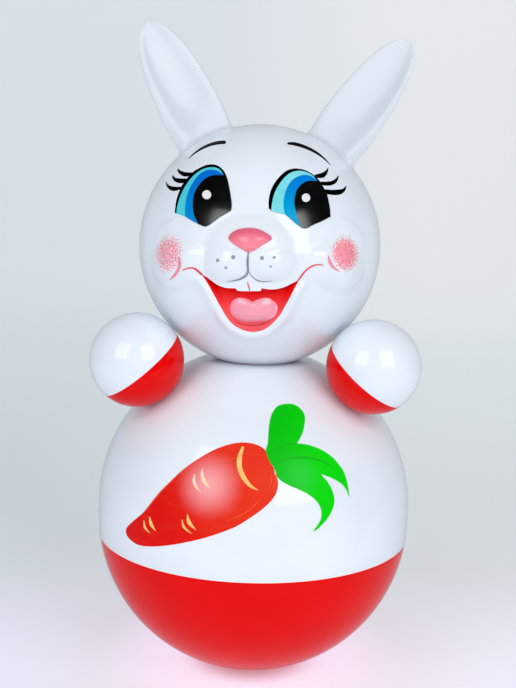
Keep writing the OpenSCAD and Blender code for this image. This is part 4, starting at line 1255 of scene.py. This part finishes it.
def ivory_plastic():
    f = Finish("ivory_plastic", IVORY, IVORY_ROUGHNESS)
    f.colour(f.clouded(IVORY, IVORY_DEEP, IVORY_CLOUDS))
    f.grain(*IVORY_GRAIN)
    return f.material


steel = metal("bright_steel", linear(196, 200, 206), 0.26, 220, DRAWN)
brass = metal("brass", linear(212, 172, 92), 0.24, 220, DRAWN)
iron = metal("cast_iron", linear(84, 86, 90), 0.55, 420, CAST)
ivory = ivory_plastic()

HAMMERS = 4
INSIDE = {
    "ballast_weight": iron, "ballast_washer": steel, "ballast_screw": steel, "chime_base": ivory,
    "chime_base_screws": steel, "chime_post": steel, "hammer_crown": brass, "crown_nut": steel,
    "hammer_pins": steel, "neck_sleeve": ivory, "neck_lock_ring": red_shell, "ear_clips": steel,
    "hand_screws": steel, "hand_washers": steel,
}
for number in range(1, HAMMERS + 1):
    INSIDE["chime_rod_%d" % number] = brass
    INSIDE["chime_hammer_%d" % number] = steel
for node_name, finish in INSIDE.items():
    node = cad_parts[node_name]
    node.data.materials.clear()
    node.data.materials.append(finish)


# Stage, light and camera

# Paper sweep, in metres: half width, front edge, where it turns up, how wide the turn is and its top
SWEEP_HALF_W = 1.1
SWEEP_FRONT = -0.4
SWEEP_TURN_AT = 1.2
SWEEP_BEND = 1.4
SWEEP_TOP = 3.5
SWEEP_STEPS = 24
# Paper tone, and the darker tone towards the left, which is painted shade
PAPER = linear(196, 196, 200)
PAPER_SHADED_TONE = linear(186, 187, 192)
# Painted light: the paper's glow, standing in for the light that falls on it, and its share in reflections
PAPER_GLOW = 0.6
PAPER_GLOSS_SHARE = 0.45
PAPER_FAR = linear(230, 234, 234)
# Painted shade darkens a band behind the toy and painted light brightens the front
# Where the paper's tone changes on the way to the front, and the tone from there on
PAPER_DEPTH_LIGHT = (((1.8, 1.1), linear(214, 223, 221)), ((1.1, 0.35), linear(202, 208, 208)),
                ((0.2, -0.04), linear(229, 232, 246)))
# Painted shade: the paper darker towards the left, over this reach to the sides, by these shares
PAPER_SIDES = 0.35
PAPER_LEFT_SHADE = (0.9, 0.93, 0.97, 1)
# Painted light and a pink painted contact shadow round the toy's foot, with the ring over which each fades
PAPER_FOOT_LIGHT_AND_SHADOW = (((0.04, 0.11), (0.96, 1.0, 1.25, 1)), ((0.022, 0.046), (0.6, 0.34, 0.42, 1)))
# Lamps: azimuth and elevation in degrees, distance, width and height in metres, power in watts
LAMPS = {
    "softbox_left": (-33, 27, 1.3, 0.72, 0.84, 4.6),
    "softbox_right": (33, 27, 1.3, 0.72, 0.84, 5.7),
    "low_card": (4, -8, 1.4, 1.3, 0.5, 1.3),
}
LAMPS_AIM = (0, 0, 0.2)
ROOM_TONE = (0.9, 0.95, 1.0, 1)
ROOM_LEVEL = 0.62
ROOM_TOP = 0.34
ROOM_GLOSS = 0.04
ROOM_GLOSS_BACK = 0.8
ROOM_BACK = (0.1, 0.7)


def sweep():
    """A pale floor that curves up into a backdrop."""
    begin()
    curve = [(SWEEP_FRONT, 0), (SWEEP_TURN_AT, 0)]
    curve += [(SWEEP_TURN_AT + SWEEP_BEND * math.sin(a), SWEEP_BEND - SWEEP_BEND * math.cos(a))
              for a in np.linspace(0, math.pi / 2, SWEEP_STEPS + 1)[1:]]
    curve.append((SWEEP_TURN_AT + SWEEP_BEND, SWEEP_TOP))
    bpy.ops.mesh.primitive_grid_add(x_subdivisions=1, y_subdivisions=len(curve) - 1, size=2)
    piece = bpy.context.object
    p = points_of(piece)
    row = np.rint((p[:, 1] + 1) / 2 * (len(curve) - 1)).astype(int)
    at = np.array(curve)[row]
    put_points(piece, np.column_stack((p[:, 0] * SWEEP_HALF_W, at[:, 0], at[:, 1])))
    bpy.ops.object.shade_smooth()
    piece.name = "sweep"
    piece.data.materials.append(sweep_paper())


def sweep_paper():
    """Matt paper whose glow is painted light, changing with depth, side and nearness to the toy."""
    f = Finish("sweep_paper", PAPER, 0.6, shine=0.15)
    glow = PAPER_FAR
    for (far, near), tone in PAPER_DEPTH_LIGHT:
        glow = f.mix(f.spread(f.along((0, far, 0), (0, near, 0))), glow, tone)
    # Painted shade towards the left
    left = f.spread(f.along((PAPER_SIDES, 0, 0), (-PAPER_SIDES, 0, 0)))
    shade = f.node("ShaderNodeVectorMath", operation="MULTIPLY")
    f.link(glow, shade.inputs[0])
    f.link(f.mix(left, (1, 1, 1, 1), PAPER_LEFT_SHADE), shade.inputs[1])
    glow = shade.outputs["Vector"]
    away = f.node("ShaderNodeVectorMath", operation="LENGTH")
    f.link(f.place, away.inputs[0])
    # Painted pool of light, then a painted contact shadow tinted by the red bowl, round the toy's foot
    for (inner, outer), tone in PAPER_FOOT_LIGHT_AND_SHADOW:
        glow = f.mix(f.spread(away.outputs["Value"], inner, outer, 1, 0), glow, tone)
    # Painted shade on the left in the paper's own colour too
    f.colour(f.mix(left, PAPER, PAPER_SHADED_TONE))
    f.link(glow, f.shader.inputs["Emission Color"])
    path = f.node("ShaderNodeLightPath")
    strength = f.spread(path.outputs["Is Glossy Ray"], 0, 1, PAPER_GLOW, PAPER_GLOW * PAPER_GLOSS_SHARE)
    f.link(strength, f.shader.inputs["Emission Strength"])
    return f.material


def softbox(name, azimuth, elevation, distance, width, height, power):
    a, e = math.radians(azimuth), math.radians(elevation)
    way = Vector((math.sin(a) * math.cos(e), -math.cos(a) * math.cos(e), math.sin(e)))
    light = bpy.data.lights.new(name, "AREA")
    light.shape = "RECTANGLE"
    light.size = width
    light.size_y = height
    light.energy = power
    lamp = bpy.data.objects.new(name, light)
    lamp.location = Vector(LAMPS_AIM) + way * distance
    lamp.rotation_euler = way.to_track_quat("Z", "Y").to_euler()
    bpy.context.scene.collection.objects.link(lamp)
    return lamp


def soft_room():
    """Light of the room: pale round about, dimmer overhead and in reflections."""
    world = bpy.data.worlds.new("soft_room")
    world.use_nodes = True
    nodes, links = world.node_tree.nodes, world.node_tree.links

    def ranged(value, *limits):
        n = nodes.new("ShaderNodeMapRange")
        for key, number in zip(("From Min", "From Max", "To Min", "To Max"), limits):
            n.inputs[key].default_value = number
        links.new(value, n.inputs["Value"])
        return n

    place = nodes.new("ShaderNodeTexCoord")
    split = nodes.new("ShaderNodeSeparateXYZ")
    links.new(place.outputs["Generated"], split.inputs["Vector"])
    path = nodes.new("ShaderNodeLightPath")
    height = ranged(split.outputs["Z"], 0, 1, ROOM_LEVEL, ROOM_TOP)
    behind = ranged(split.outputs["Y"], *ROOM_BACK, ROOM_GLOSS, ROOM_GLOSS_BACK)
    gloss = ranged(path.outputs["Is Glossy Ray"], 0, 1, 1)
    links.new(behind.outputs["Result"], gloss.inputs["To Max"])
    level = nodes.new("ShaderNodeMath")
    level.operation = "MULTIPLY"
    links.new(height.outputs["Result"], level.inputs[0])
    links.new(gloss.outputs["Result"], level.inputs[1])
    links.new(level.outputs["Value"], nodes["Background"].inputs["Strength"])
    nodes["Background"].inputs["Color"].default_value = ROOM_TONE
    bpy.context.scene.world = world


sweep()
lamps = {name: softbox(name, *values) for name, values in LAMPS.items()}
lamps["low_card"].visible_glossy = False
soft_room()

lens = bpy.data.cameras.new("photo_view")
lens.sensor_width = SENSOR
lens.lens = FOCAL_PX * SENSOR / PHOTO_H
lens.clip_start = 0.01
camera = bpy.data.objects.new("photo_view", lens)
camera.matrix_world = Matrix.Translation(Vector(CAMERA_AT)) @ VIEW_TURN.to_4x4()
bpy.context.scene.collection.objects.link(camera)
bpy.context.scene.camera = camera
bpy.context.scene.view_settings.view_transform = "Standard"
